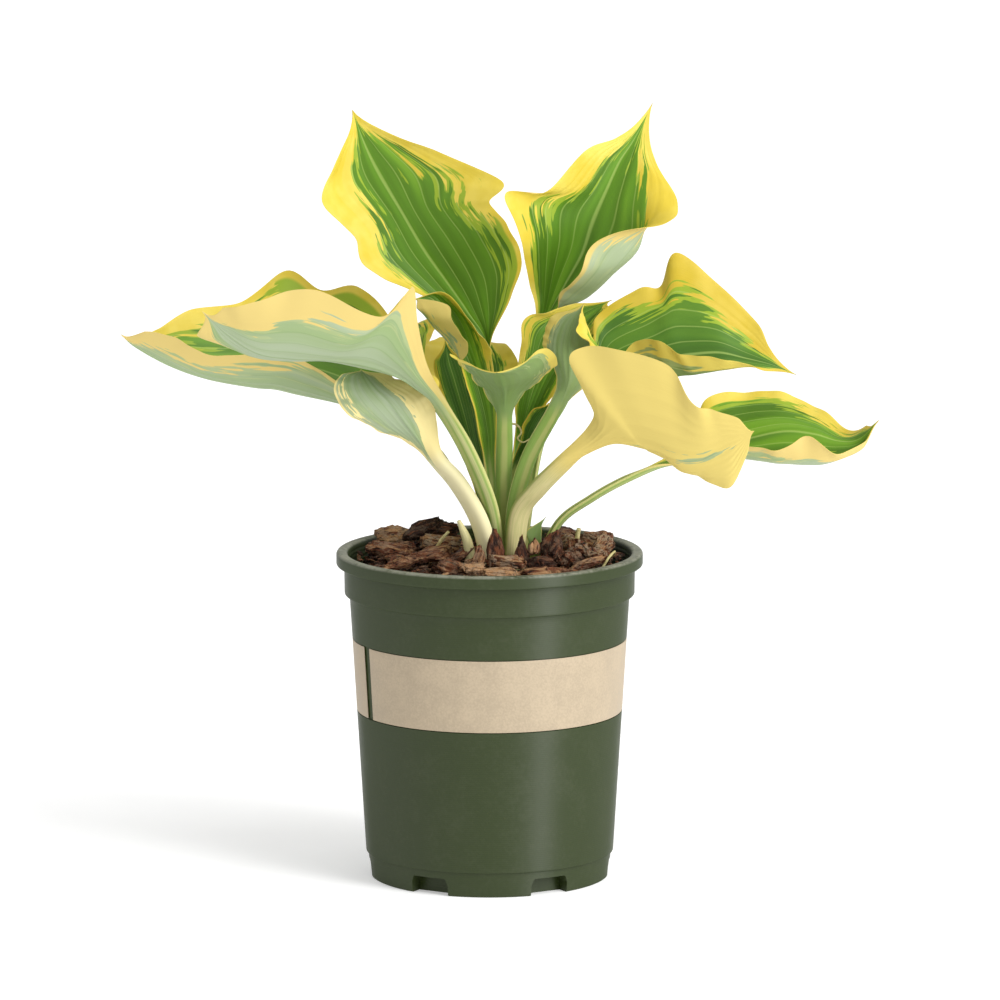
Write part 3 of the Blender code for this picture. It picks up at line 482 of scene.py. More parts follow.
class HostaSettings(bpy.types.PropertyGroup):
    """Sizes and colours of the plant."""

    rib_height: FloatProperty(
        name="Rib height", description="How far the blade swells between two veins, in mm",
        default=0.22, min=0.0, max=2.0)
    vein_count: IntProperty(
        name="Veins", description="Veins on each half of a blade", default=6, min=3, max=12)
    wave_height: FloatProperty(
        name="Margin waves", description="How far a blade's margin waves, in mm",
        default=0.9, min=0.0, max=4.0)
    blade_thickness: FloatProperty(
        name="Blade thickness", description="Thickness of a leaf blade, in mm",
        default=0.5, min=0.2, max=1.5)
    stalk_thickness: FloatProperty(
        name="Stalk thickness", description="Thickness of a stalk at its keel, in mm",
        default=3.0, min=1.0, max=6.0)
    leaf_green: swatch("Leaf green", "Middle of the blade's upper side", (0.125, 0.285, 0.018))
    leaf_lime: swatch("Leaf lime", "Streaks between the green and the margin", (0.34, 0.46, 0.035))
    leaf_yellow: swatch("Leaf yellow", "Margin of the blade's upper side", (0.71, 0.54, 0.050))
    under_green: swatch("Underside green", "Middle of the blade's underside", (0.31, 0.415, 0.19))
    under_cream: swatch("Underside cream", "Margin of the blade's underside", (0.71, 0.55, 0.19))
    pot_green: swatch("Pot green", "The pot's moulded plastic", (0.024, 0.0375, 0.0065))
    label_tan: swatch("Label tan", "The bare wrap label's paper", (0.44, 0.354, 0.245))
    bark_dark: swatch("Bark dark", "The bark's deep layers", (0.040, 0.014, 0.008))
    bark_light: swatch("Bark light", "The bark's weathered face", (0.56, 0.31, 0.15))
    key_power: FloatProperty(
        name="Softbox", description="Power of the tall softbox at the right, in watts",
        default=38.0, min=0.0, max=500.0)
    sun_strength: FloatProperty(
        name="Top light", description="Strength of the soft light from above", default=1.35,
        min=0.0, max=20.0)
    sky_strength: FloatProperty(
        name="Sky", description="Brightness of the white surroundings", default=0.60,
        min=0.0, max=4.0)


def settings():
    """The plant's settings in this scene."""
    return bpy.context.scene.hosta


# ---------------------------------------------------------------- meshes

def unit(vectors):
    """Vectors scaled to length one along the last axis."""
    vectors = np.asarray(vectors, dtype=float)
    lengths = np.linalg.norm(vectors, axis=-1, keepdims=True)
    return vectors / np.maximum(lengths, 1e-9)


def smooth_curve(points, places):
    """Catmull-Rom curve through evenly numbered points, read at fractional places."""
    points = np.asarray(points, dtype=float)
    first = 2.0 * points[0] - points[1]
    last = 2.0 * points[-1] - points[-2]
    padded = np.concatenate([[first], points, [last]])
    start = np.clip(np.floor(places).astype(int), 0, len(points) - 2)
    t = (places - start).reshape((-1,) + (1,) * (points.ndim - 1))
    a, b, c, d = (padded[start + k] for k in range(4))
    return 0.5 * (
        2.0 * b
        + (c - a) * t
        + (2.0 * a - 5.0 * b + 4.0 * c - d) * t ** 2
        + (3.0 * b - a - 3.0 * c + d) * t ** 3
    )


def smooth_step(low, high, value):
    """Zero below low, one above high, and an S-shaped rise between them."""
    t = np.clip((value - low) / (high - low), 0.0, 1.0)
    return t * t * (3.0 - 2.0 * t)


def lattice_noise(places, seed):
    """Smooth noise from 0 to 1: random values at whole-number places, blended between them."""
    table = np.random.default_rng(seed).random((16, 16, 16))
    places = np.asarray(places, dtype=float)
    cell = np.floor(places).astype(int)
    t = places - cell
    t = t * t * (3.0 - 2.0 * t)
    total = np.zeros(places.shape[:-1])
    for corner in np.ndindex(2, 2, 2):
        index = tuple((cell[..., k] + corner[k]) % 16 for k in range(3))
        weight = np.ones(places.shape[:-1])
        for k in range(3):
            weight = weight * (t[..., k] if corner[k] else 1.0 - t[..., k])
        total += weight * table[index]
    return total


def layered_noise(places, seed, layers=3):
    """Lattice noise added at doubling fineness and halving height, from 0 to 1."""
    total, height, reach = 0.0, 1.0, 0.0
    for layer in range(layers):
        total = total + height * lattice_noise(np.asarray(places) * 2.0 ** layer, seed + layer)
        reach += height
        height *= 0.5
    return total / reach


def closed_points(grids):
    """Points of wrapped grids, each followed by the middle of its first and of its last row."""
    grids = grids.reshape((-1,) + grids.shape[-3:])
    body = grids.reshape(len(grids), -1, 3)
    ends = np.stack([grids[:, 0].mean(axis=1), grids[:, -1].mean(axis=1)], axis=1)
    return np.concatenate([body, ends], axis=1).reshape(-1, 3)


def closed_faces(rows, columns, copies=1):
    """Quads and end triangles of wrapped grids numbered as closed_points numbers them.

    They face outwards where the columns run right-handed about the way the rows advance."""
    i, j = np.meshgrid(np.arange(rows - 1), np.arange(columns), indexing="ij")
    n = (j + 1) % columns
    corners = (i * columns + j, i * columns + n, (i + 1) * columns + n, (i + 1) * columns + j)
    quads = np.stack(corners, axis=-1).reshape(-1, 4)
    k = np.arange(columns)
    n = (k + 1) % columns
    count = rows * columns
    top = count - columns
    first = np.stack([np.full(columns, count), n, k], axis=1)
    last = np.stack([np.full(columns, count + 1), top + k, top + n], axis=1)
    shift = (np.arange(copies) * (count + 2))[:, None, None]
    fans = np.concatenate([first, last])
    return (quads + shift).reshape(-1, 4), (fans + shift).reshape(-1, 3)


def grid_mesh(name, grids, values):
    """A mesh of one or more wrapped grids, given in millimetres about the pot's axis."""
    points = closed_points(grids) * MM + (POT_AXIS[0], POT_AXIS[1], 0.0)
    copies = int(np.prod(grids.shape[:-3]))
    quads, fans = closed_faces(grids.shape[-3], grids.shape[-2], copies)
    mesh = bpy.data.meshes.new(name)
    mesh.vertices.add(len(points))
    mesh.vertices.foreach_set("co", points.astype(np.float32).ravel())
    corners = np.concatenate([quads.ravel(), fans.ravel()]).astype(np.int32)
    mesh.loops.add(len(corners))
    mesh.loops.foreach_set("vertex_index", corners)
    starts = np.concatenate([np.arange(len(quads)) * 4, quads.size + np.arange(len(fans)) * 3])
    mesh.polygons.add(len(starts))
    mesh.polygons.foreach_set("loop_start", starts.astype(np.int32))
    mesh.update(calc_edges=True)
    for label, vectors in values.items():
        layer = mesh.attributes.new(label, "FLOAT_VECTOR", "POINT")
        layer.data.foreach_set("vector", closed_points(vectors).astype(np.float32).ravel())
    return mesh


def place_piece(name, mesh, finish, stands_for=(), crease=180.0):
    """Puts a mesh in the scene as a piece that rides on the plant."""
    mesh.validate()
    mesh.shade_smooth()
    if crease < 180.0:
        mesh.set_sharp_from_angle(angle=math.radians(crease))
    mesh.materials.clear()
    mesh.materials.append(finish)
    piece = bpy.data.objects.new(name, mesh)
    bpy.context.scene.collection.objects.link(piece)
    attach(piece, BODY)
    if stands_for:
        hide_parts(*stands_for)


def place_grid(name, grids, finish, part_slot, stands_for=(), crease=180.0, **values):
    """Makes wrapped grids and the values on their points into one piece."""
    place_piece(name, grid_mesh(name, grids, values), finish, stands_for, crease)


def same_all_over(grid, *values):
    """Up to three values given to every point of a grid."""
    return np.broadcast_to((*values, 0.0, 0.0, 0.0)[:3], grid.shape)


def turned(profile, segments, middle=(0.0, 0.0)):
    """Wrapped grid of a profile turned about an upright axis.

    A point is (r sin a, -r cos a, z).  The profile of (radius, height) points runs from the
    underside's middle round the outside to the top's middle, leaving the middles out."""
    ring = np.array(profile, dtype=float)
    a = np.arange(segments) * 2.0 * math.pi / segments
    grid = np.empty((len(ring), segments, 3))
    grid[..., 0] = middle[0] + ring[:, :1] * np.sin(a)
    grid[..., 1] = middle[1] - ring[:, :1] * np.cos(a)
    grid[..., 2] = ring[:, 1:2]
    return grid


def tube(path, radii, sides, up):
    """Wrapped grid round a path: each ring is a circle square to it."""
    path = np.asarray(path, dtype=float)
    along = unit(np.gradient(path, axis=0))
    side = unit(np.cross(along, up))
    face = np.cross(along, side)
    u = np.arange(sides) * 2.0 * math.pi / sides
    r = np.broadcast_to(np.asarray(radii, dtype=float), (len(path),))[:, None, None]
    ring = side[:, None] * np.cos(u)[:, None] + face[:, None] * np.sin(u)[:, None]
    return path[:, None] + ring * r


# ---------------------------------------------------------------- shader helpers

def node(tree, kind, links=None, **options):
    """Adds a node; links gives each input a value or the shade that feeds it."""
    made = tree.nodes.new(kind)
    for name, value in options.items():
        setattr(made, name, value)
    for name, value in (links or {}).items():
        if isinstance(value, Shade):
            tree.links.new(value.socket, made.inputs[name])
        else:
            made.inputs[name].default_value = value
    return [Shade(tree, socket) for socket in made.outputs]


class Shade:
    """A value or a colour in a node tree, which the signs of arithmetic combine."""

    def __init__(self, tree, socket):
        self.tree, self.socket = tree, socket

    def maths(self, operation, *others):
        """One arithmetic step."""
        terms = dict(enumerate((self, *others)))
        return node(self.tree, "ShaderNodeMath", terms, operation=operation)[0]

    def __add__(self, other):
        return self.maths("ADD", other)

    def __sub__(self, other):
        return self.maths("SUBTRACT", other)

    def __mul__(self, other):
        return self.maths("MULTIPLY", other)

    def __abs__(self):
        return self.maths("ABSOLUTE")

    def larger(self, other):
        """The larger of two values."""
        return self.maths("MAXIMUM", other)

    def ramp(self, low, high, out_low=0.0, out_high=1.0):
        """A smooth rise as the value goes from low to high."""
        links = {"Value": self, "From Min": low, "From Max": high, "To Min": out_low,
                 "To Max": out_high}
        return node(self.tree, "ShaderNodeMapRange", links, interpolation_type="SMOOTHSTEP")[0]

    def mix(self, first, second):
        """A blend of two colours, of which this value is the second one's share."""
        ends = [end if isinstance(end, Shade) else (*end, 1.0) for end in (first, second)]
        links = {0: self, 6: ends[0], 7: ends[1]}
        return node(self.tree, "ShaderNodeMix", links, data_type="RGBA")[2]

    def parts(self):
        """The three values of a vector."""
        return node(self.tree, "ShaderNodeSeparateXYZ", {0: self})

    def noise(self, scale, detail=2.0, roughness=0.5, distortion=0.0):
        """Noise from 0 to 1 at this place."""
        links = {"Vector": self, "Scale": scale, "Detail": detail, "Roughness": roughness,
                 "Distortion": distortion}
        return node(self.tree, "ShaderNodeTexNoise", links)[0]

    def mottle(self, coarse, fine, share):
        """The mottle group's mask at this place."""
        links = {"Vector": self, "Coarse": coarse, "Fine": fine, "Share": share}
        return place_group(self.tree, "Mottle", make_mottle_group, links)

    def bump(self, strength, distance):
        """A normal that this height tilts."""
        links = {"Height": self, "Strength": strength, "Distance": distance}
        return node(self.tree, "ShaderNodeBump", links)[0]


def attribute(tree, name):
    """A vector stored on the mesh's points."""
    return node(tree, "ShaderNodeAttribute", attribute_name=name)[1]


def object_place(tree):
    """Where a point is on its piece, in metres."""
    return node(tree, "ShaderNodeTexCoord")[3]


def scaled(colour, factor):
    """A colour made darker or paler."""
    return tuple(min(value * factor, 1.0) for value in colour)


def material(name, roughness, specular, others=()):
    """Makes a function that paints a node tree into one that gives the finished material.

    The material is made once, with plain values first: roughness, specular level and others.
    The painter returns what feeds each of the shader's other sockets."""
    def keep(paint):
        """Wraps the painter."""
        def finished():
            """The material by name, painted the first time it is asked for."""
            made = bpy.data.materials.get(name)
            if made is None:
                made = bpy.data.materials.new(name)
                made.use_nodes = True
                tree = made.node_tree
                sockets = tree.nodes["Principled BSDF"].inputs
                plain = {"Roughness": roughness, "Specular IOR Level": specular, **dict(others)}
                for label, value in plain.items():
                    sockets[label].default_value = value
                for label, shade in paint(tree).items():
                    tree.links.new(shade.socket, sockets[label])
            return made
        return finished
    return keep


def new_group(name, inputs):
    """A node group with named inputs and one mask; gives its inputs and its mask's socket."""
    tree = bpy.data.node_groups.new(name, "ShaderNodeTree")
    for label, default in inputs.items():
        kind = "NodeSocketVector" if default is None else "NodeSocketFloat"
        socket = tree.interface.new_socket(label, in_out="INPUT", socket_type=kind)
        if default is not None:
            socket.default_value = default
    tree.interface.new_socket("Mask", in_out="OUTPUT", socket_type="NodeSocketFloat")
    given = node(tree, "NodeGroupInput")[:len(inputs)]
    return given, tree.nodes.new("NodeGroupOutput").inputs["Mask"]


def place_group(tree, name, maker, links):
    """Places a shared node group, made the first time it is asked for; gives its mask."""
    if name not in bpy.data.node_groups:
        maker(name)
    return node(tree, "ShaderNodeGroup", links, node_tree=bpy.data.node_groups[name])[0]


def make_mottle_group(name):
    """Two sizes of noise mixed into one mask, for dust, fibre and crumbs."""
    inputs = {"Vector": None, "Coarse": 40.0, "Fine": 300.0, "Share": 0.5}
    (where, coarse, fine, share), mask = new_group(name, inputs)
    links = {0: share, 2: where.noise(coarse, 3.0, 0.55), 3: where.noise(fine, 2.0, 0.6)}
    blended = node(where.tree, "ShaderNodeMix", links, data_type="FLOAT")[0]
    where.tree.links.new(blended.socket, mask)


def make_vein_group(name):
    """One on each vein, falling to nought between them."""
    (across, count, width), mask = new_group(name, {"Across": 0.0, "Count": 7.0, "Width": 0.2})
    cell = (across * count + 100.5).maths("FRACT")
    line = (abs(cell - 0.5) * 2.0).ramp(0.0, width, 1.0, 0.0)
    across.tree.links.new(line.socket, mask)


# ---------------------------------------------------------------- materials

@material("leaf_variegated", 0.45, 0.30)
def leaf_skin(tree):
    """Variegated leaf: green middle, lime streaks, yellow margin; duller below; painted shade on
    leaves that lie in shade.
    """
    have = settings()
    across, along, seed = attribute(tree, "leaf_place").parts()
    under, base, tip = attribute(tree, "leaf_look").parts()
    lean, cream, deep = attribute(tree, "leaf_tint").parts()
    side = abs(across)
    where = object_place(tree)
    cloud = where.noise(40.0, 3.0, 0.6)

    def streaks(cross_count, length_count, shift):
        """Noise drawn out along the veins."""
        drawn = {0: across * cross_count, 1: along * length_count, 2: seed * 5.3 + shift}
        return node(tree, "ShaderNodeCombineXYZ", drawn)[0].noise(1.0, 2.0, 0.6)

    # The margin: where the place across, made ragged by streaks, passes the margin's edge
    broad = streaks(4.0, 3.4, 0.0) - 0.5
    narrow, fine = streaks(18.0, 7.0, 3.0), streaks(60.0, 2.0, 11.0)
    ragged = broad * 0.62 + (narrow - 0.5) * 0.72
    reach = ragged * along.ramp(0.20, 0.55, 0.20) + across * lean + side
    margin = (tip - base) * along.ramp(0.36, 0.80) + base + along.ramp(0.86, 1.0, 0.0, 0.35)
    margin = margin + cream * along.ramp(0.08, 0.40, 0.38, 0.0)
    over = (reach + margin - 1.0).larger(side - 0.945)
    yellow_mask = over.ramp(-0.015, 0.015)
    lime_mask = ((streaks(16.0, 5.0, 7.0) - 0.5) * 0.9 + over).ramp(-0.13, -0.08)
    veins = place_group(tree, "Vein Lines", make_vein_group,
                        {"Across": across, "Count": float(have.vein_count), "Width": 0.15})
    line = (veins * 0.34).larger(side.ramp(0.008, 0.030, 0.45, 0.0))

    # The upper side
    green = tuple(have.leaf_green)
    # Random lanes of bright and darker green: partly the leaf's own tone, partly painted light
    # shining through the blade.
    lanes = streaks(3.6, 0.9, 29.0)
    upper = lanes.ramp(0.34, 0.62).mix(scaled(green, 0.62), green)
    upper = lanes.ramp(0.52, 0.70, 0.0, 0.55).mix(upper, BRIGHT_GREEN)
    # Painted shade: "deep" from a half to one darkens the upper side and its yellow margin, for a
    # leaf that lies in shade.
    upper_shade = deep.ramp(0.5, 1.0, 0.0, 0.8)
    upper = upper_shade.mix(upper, SHADED_GREEN)
    upper = (lime_mask * 0.85).mix(upper, tuple(have.leaf_lime))
    upper = line.mix(upper, RIB_GREEN)
    sunny = cloud.ramp(0.35, 0.65).mix(tuple(have.leaf_yellow), PALE_YELLOW)
    upper = yellow_mask.mix(upper, upper_shade.mix(sunny, SHADED_YELLOW))

    # The underside
    pale = tuple(0.7 * value + 0.17 for value in have.under_green)
    lower = lanes.ramp(0.30, 0.70).mix(tuple(have.under_green), pale)
    lower = along.ramp(0.10, 0.45, 0.35, 0.0).mix(lower, UNDER_NECK)
    # Painted shade: "deep" up to a half dulls the underside, its margin and the stalk's pale band,
    # for a leaf that lies in shade.
    shaded = deep.ramp(0.0, 0.5, 0.0, 0.85)
    lower = shaded.mix(lower, UNDER_SHADED)
    lower = (line * 0.7).mix(lower, UNDER_RIB)
    lower = (lime_mask * 0.25).mix(lower, UNDER_LIME)
    palest = cream.ramp(0.90, 1.0)
    creamy = palest.mix(tuple(have.under_cream), UNDER_PALEST)
    lower = yellow_mask.mix(lower, shaded.mix(creamy, UNDER_SHADED_CREAM))

    # The stalk, with a pale band on each half where there is some cream
    stalk = abs(across + broad * 0.25).ramp(0.10, 0.34).mix(STALK_KEEL, STALK_GREEN)
    stalk = fine.ramp(0.40, 0.60, 0.0, 0.35).mix(stalk, STALK_THREAD)
    stalk = side.ramp(0.66, 0.90, 0.0, 0.85).mix(stalk, STALK_EDGE)
    pale_stalk = narrow.ramp(0.40, 0.60).mix(STALK_CREAM, STALK_STRAW)
    pale_stalk = palest.mix(pale_stalk, STALK_PALEST)
    pale_stalk = across.ramp(0.66, 0.84, 0.0, 0.9).mix(pale_stalk, STALK_GREEN_EDGE)
    # Painted shade on the stalk's pale band.
    pale_stalk = shaded.mix(pale_stalk, STALK_SHADED)
    band = cream + abs(side - 0.5).ramp(0.05, 0.40, 0.38, 0.0)
    stalk = band.ramp(0.62, 0.92).mix(stalk, pale_stalk)

    return {
        "Base Color": along.ramp(-0.12, 0.10).mix(stalk, under.mix(upper, lower)),
        "Roughness": cloud * 0.10 + under.ramp(0.0, 1.0, 0.38, 0.55),
        "Specular IOR Level": under.ramp(0.0, 1.0, 0.26, 0.12),
        "Normal": (where.mottle(260.0, 1400.0, 0.4) * 0.5 + fine).bump(0.14, 0.0006),
    }


@material("pot_moulded_plastic", 0.40, 0.26, {"Anisotropic": 0.85, "Anisotropic Rotation": 0.25})
def pot_plastic(tree):
    """Moulded plastic: dull olive green, turning lines, pale dust on the lip."""
    where = object_place(tree)
    height = where.parts()[2]
    dust = where.mottle(60.0, 420.0, 0.45)
    on_lip = height.ramp((POT_HEIGHT - 1.6) * MM, POT_HEIGHT * MM, 0.0, 0.80)
    chalk = (dust.ramp(0.40, 0.80) * 0.05).larger(on_lip * dust.ramp(0.25, 0.6))
    facing = node(tree, "ShaderNodeLayerWeight", {"Blend": 0.5})[1]
    lines = (height * (2.0 * math.pi / TURNING_LINE)).maths("SINE")
    return {
        "Base Color": chalk.mix(tuple(settings().pot_green), POT_DUST),
        "Roughness": dust.ramp(0.3, 0.8, 0.44, 0.54),
        "Tangent": node(tree, "ShaderNodeTangent", direction_type="RADIAL", axis="Z")[0],
        "Specular IOR Level": facing.ramp(0.20, 0.75, 0.44, 0.06),
        "Normal": (lines * 0.22 + dust).bump(0.10, 0.0004),
    }


@material("label_bare_paper", 0.52, 0.4)
def label_paper(tree):
    """Bare tan paper with faint fibre."""
    tan = tuple(settings().label_tan)
    fibre = object_place(tree).mottle(90.0, 900.0, 0.6)
    speck = fibre.ramp(0.35, 0.68)
    return {
        "Base Color": speck.mix(scaled(tan, 0.90), scaled(tan, 1.08)),
        "Roughness": speck.ramp(0.0, 1.0, 0.48, 0.62),
        "Normal": fibre.bump(0.12, 0.0002),
    }


def flecked(grain, flecks, colours, roughness, relief):
    """Two colours, two roughnesses and a relief that all follow one grain."""
    return {
        "Base Color": grain.ramp(*flecks).mix(*colours),
        "Roughness": grain.ramp(0.3, 0.8, *roughness),
        "Normal": grain.bump(*relief),
    }


@material("soil_potting_mix", 0.95, 0.2)
def soil_crumbs(tree):
    """Dark crumbly potting mix with paler specks."""
    crumbs = object_place(tree).mottle(240.0, 1200.0, 0.5)
    return flecked(crumbs, (0.40, 0.70), (SOIL_DARK, SOIL_SPECK), (0.85, 1.0), (0.8, 0.002))


@material("crown_rootstock", 0.7, 0.3)
def crown_fibre(tree):
    """Pale fibrous rootstock."""
    fibres = object_place(tree).mottle(120.0, 700.0, 0.6)
    return flecked(fibres, (0.35, 0.7), (ROOT_DARK, ROOT_PALE), (0.6, 0.85), (0.6, 0.0015))


@material("straw_dry", 0.7, 0.3)
def dry_straw(tree):
    """Dry stems, roots and curls: pale straw with darker flecks."""
    fibres = object_place(tree).mottle(300.0, 1500.0, 0.4)
    return flecked(fibres, (0.35, 0.65), (STRAW_DARK, STRAW_PALE), (0.6, 0.8), (0.4, 0.0006))


@material("bark_conifer", 0.85, 0.25)
def bark_flakes(tree):
    """Conifer bark: layered red-brown flakes, tan weathered faces, dark cracks with painted shade
    in them.
    """
    have = settings()
    dark = tuple(have.bark_dark)
    grain = attribute(tree, "bark_place")
    tone, weathered, _ = attribute(tree, "bark_look").parts()
    links = {"Vector": grain, "Scale": (0.30, 1.3, 1.6)}
    stretched = node(tree, "ShaderNodeMapping", links)[0]
    flakes = stretched.noise(0.55, 4.0, 0.60, 0.8)
    strands = stretched.noise(1.5, 4.0, 0.66, 0.5)
    pits = grain.noise(0.7, 4.0, 0.7)
    paleness = (flakes - 0.5) * 1.6 + (strands - 0.5) * 0.8 + tone
    colour = paleness.ramp(-0.30, 0.05).mix(dark, BARK_RED)
    colour = paleness.ramp(0.06, 0.42).mix(colour, tuple(have.bark_light))
    colour = (pits.ramp(0.46, 0.56) * weathered * 0.85).mix(colour, BARK_GREY)
    return {
        # The near-black cracks: the bark's own dark cracks, darkened further by painted shade in
        # them.
        "Base Color": strands.ramp(0.36, 0.45, 0.95, 0.0).mix(colour, scaled(dark, 0.35)),
        "Roughness": strands.ramp(0.3, 0.8, 0.58, 0.95),
        "Normal": (strands * 0.9 + flakes + pits * 0.5).bump(1.0, 0.0035),
    }


@material("stage_paper", 0.9, 0.1, {"Emission Color": WHITE, "Emission Strength": FLOOR_GLOW})
def stage_paper(tree):
    """Plain pale studio floor with a faint grain."""
    return {"Base Color": object_place(tree).noise(30.0).ramp(0.3, 0.7).mix(FLOOR_DULL, FLOOR_PALE)}


# ---------------------------------------------------------------- pot

def body_radius(z):
    """Outer radius of the tapered body at a height."""
    share = (z - BASE_HEIGHT) / (COLLAR_BOTTOM - BASE_HEIGHT)
    return BODY_BOTTOM_RADIUS + share * (BODY_TOP_RADIUS - BODY_BOTTOM_RADIUS)


def inner_radius(z):
    """Radius of the pot's cavity at a height below the collar."""
    return body_radius(z) - WALL - BASE_STEP


def straight(start, end, steps):
    """Points from start up to, but not including, end."""
    share = np.arange(steps)[:, None] / steps
    return np.array(start) * (1.0 - share) + np.array(end) * share


def corner(middle, radius, from_degrees, to_degrees, steps=6):
    """Points on a circular arc, by angle from the outward radius."""
    a = np.radians(np.linspace(from_degrees, to_degrees, steps))
    return np.array(middle) + radius * np.stack([np.cos(a), np.sin(a)], axis=1)


def pot_profile():
    """Half section of the pot from the underside round the lip to the cavity's floor.

    The inside of the collar carries fine rings: its radius swings as a sine of the height."""
    above, below = LABEL_TOP + 0.5, LABEL_BOTTOM - 0.5
    recess_top, recess_bottom = body_radius(above) - LABEL_RECESS, body_radius(below) - LABEL_RECESS
    recess_start = body_radius(below + 1) - LABEL_RECESS
    foot, neck = inner_radius(FLOOR_TOP + 3.0), inner_radius(COLLAR_BOTTOM - 3.0)
    base, step = BASE_BOTTOM_RADIUS, BODY_BOTTOM_RADIUS - BASE_STEP
    under_lip = POT_HEIGHT - LIP_HEIGHT
    collar_inner = COLLAR_RADIUS - WALL
    inside = straight((collar_inner + 0.4, POT_HEIGHT - 2.5), (collar_inner, COLLAR_BOTTOM + 1), 60)
    inside[:, 0] += RING_HEIGHT * np.sin(2.0 * math.pi * inside[:, 1] / RING_PITCH)
    return np.concatenate([
        straight((8.0, FLOOR_UNDERSIDE), (FOOT_INNER_RADIUS - 1.5, FLOOR_UNDERSIDE), 5),
        [(FOOT_INNER_RADIUS - 1.5, FLOOR_UNDERSIDE), (FOOT_INNER_RADIUS, 0.0)],
        [(base - 0.9, 0.0), (base - 0.25, 0.25), (base + 0.1, 1.0)],
        straight((base + 0.1, 1.4), (step, BASE_HEIGHT), 6),
        [(step, BASE_HEIGHT)],
        corner((BODY_BOTTOM_RADIUS - 0.5, BASE_HEIGHT + 0.5), 0.5, -80, 0, 4),
        straight((body_radius(15.0), 15.0), (body_radius(below), below), 20),
        [(body_radius(below), below), (recess_bottom, below + 0.1)],
        straight((recess_start, below + 1), (recess_top, above), 6),
        [(recess_top, above - 0.1), (body_radius(above), above)],
        straight((body_radius(above + 1), above + 1), (BODY_TOP_RADIUS, COLLAR_BOTTOM - 0.5), 6),
        [(BODY_TOP_RADIUS, COLLAR_BOTTOM - 0.4), (BODY_TOP_RADIUS + 0.2, COLLAR_BOTTOM)],
        corner((COLLAR_RADIUS - 0.9, COLLAR_BOTTOM + 0.9), 0.9, -80, 0, 5),
        straight((COLLAR_RADIUS, COLLAR_BOTTOM + 2), (COLLAR_RADIUS + 0.2, under_lip - 0.4), 6),
        [(COLLAR_RADIUS + 0.25, under_lip - 0.3), (COLLAR_RADIUS + 0.6, under_lip)],
        corner((LIP_RADIUS - 0.9, under_lip + 0.9), 0.9, -85, 0, 5),
        straight((LIP_RADIUS, under_lip + 2), (LIP_RADIUS, POT_HEIGHT - 2.4), 3),
        corner((LIP_RADIUS - 1.6, POT_HEIGHT - 1.6), 1.6, 0, 90, 8),
        corner((collar_inner + 2.4, POT_HEIGHT - 2.0), 2.0, 95, 178, 8),
        inside,
        [(neck, COLLAR_BOTTOM - 3.0)],
        straight((neck, COLLAR_BOTTOM - 4.0), (foot, FLOOR_TOP + 3.0), 20),
        [(foot, FLOOR_TOP + 3.0), (foot - 1.0, FLOOR_TOP + 0.9), (foot - 3.0, FLOOR_TOP)],
        straight((foot - 10.0, FLOOR_TOP), (6.0, FLOOR_TOP), 4),
    ])


def notch_blocks():
    """Blocks, each narrower above, that cut the drain notches between the feet."""
    a = np.radians(30.0) + np.arange(NOTCH_COUNT) * 2.0 * math.pi / NOTCH_COUNT
    a = a[:, None, None]
    half = NOTCH_WIDTH / 2.0 * np.array([1.0, 1.0, 0.90, 0.82])[:, None]
    z = NOTCH_HEIGHT * np.array([-1.0, 0.6, 0.92, 1.0])[:, None]
    sideways = np.array([1.0, 1.0, -1.0, -1.0]) * half
    outward = np.array([NOTCH_INNER_RADIUS, LIP_RADIUS, LIP_RADIUS, NOTCH_INNER_RADIUS])
    x = outward * np.sin(a) - sideways * np.cos(a)
    y = -outward * np.cos(a) - sideways * np.sin(a)
    return np.stack(np.broadcast_arrays(x, y, z), axis=-1)


def build_pot():
    """The pot: a turned wall with its drain notches cut by one Boolean, which is applied."""
    blanks = {"pot_blank": turned(pot_profile(), POT_SEGMENTS), "notch_cutter": notch_blocks()}
    pot, cutter = (bpy.data.objects.new(name, grid_mesh(name, grid, {}))
                   for name, grid in blanks.items())
    for thing in (pot, cutter):
        bpy.context.scene.collection.objects.link(thing)
    cut = pot.modifiers.new("notches", "BOOLEAN")
    cut.operation = "DIFFERENCE"
    cut.solver = "EXACT"
    cut.object = cutter
    finished = pot.evaluated_get(bpy.context.evaluated_depsgraph_get())
    mesh = bpy.data.meshes.new_from_object(finished)
    mesh.name = "pot_moulded"
    for thing in (pot, cutter):
        bpy.data.objects.remove(thing, do_unlink=True)
    place_piece("pot_moulded", mesh, pot_plastic(), ("pot",), POT_CREASE)


def build_label():
    """The wrap label: a thin section with eased edges, carried round the pot up to its seam."""
    half_gap = LABEL_SEAM_WIDTH / 2.0 / body_radius(LABEL_BOTTOM)
    a = np.linspace(half_gap, 2.0 * math.pi - half_gap, LABEL_STEPS)[:, None] + LABEL_SEAM_ANGLE
    face = np.linspace(LABEL_TOP - 0.3, LABEL_BOTTOM + 0.3, 12)
    z = np.concatenate([[LABEL_BOTTOM, LABEL_TOP, LABEL_TOP], face, [LABEL_BOTTOM]])
    depth = np.concatenate([[0.0, 0.0, 0.8], np.ones(12), [0.8]]) * LABEL_THICKNESS
    r = body_radius(z) - LABEL_RECESS + GAP + depth
    grid = np.stack(np.broadcast_arrays(r * np.sin(a), -r * np.cos(a), z), axis=-1)
    place_grid("label_band_fine", grid, label_paper(), "label_paper", ("label_band",),
               LABEL_CREASE)


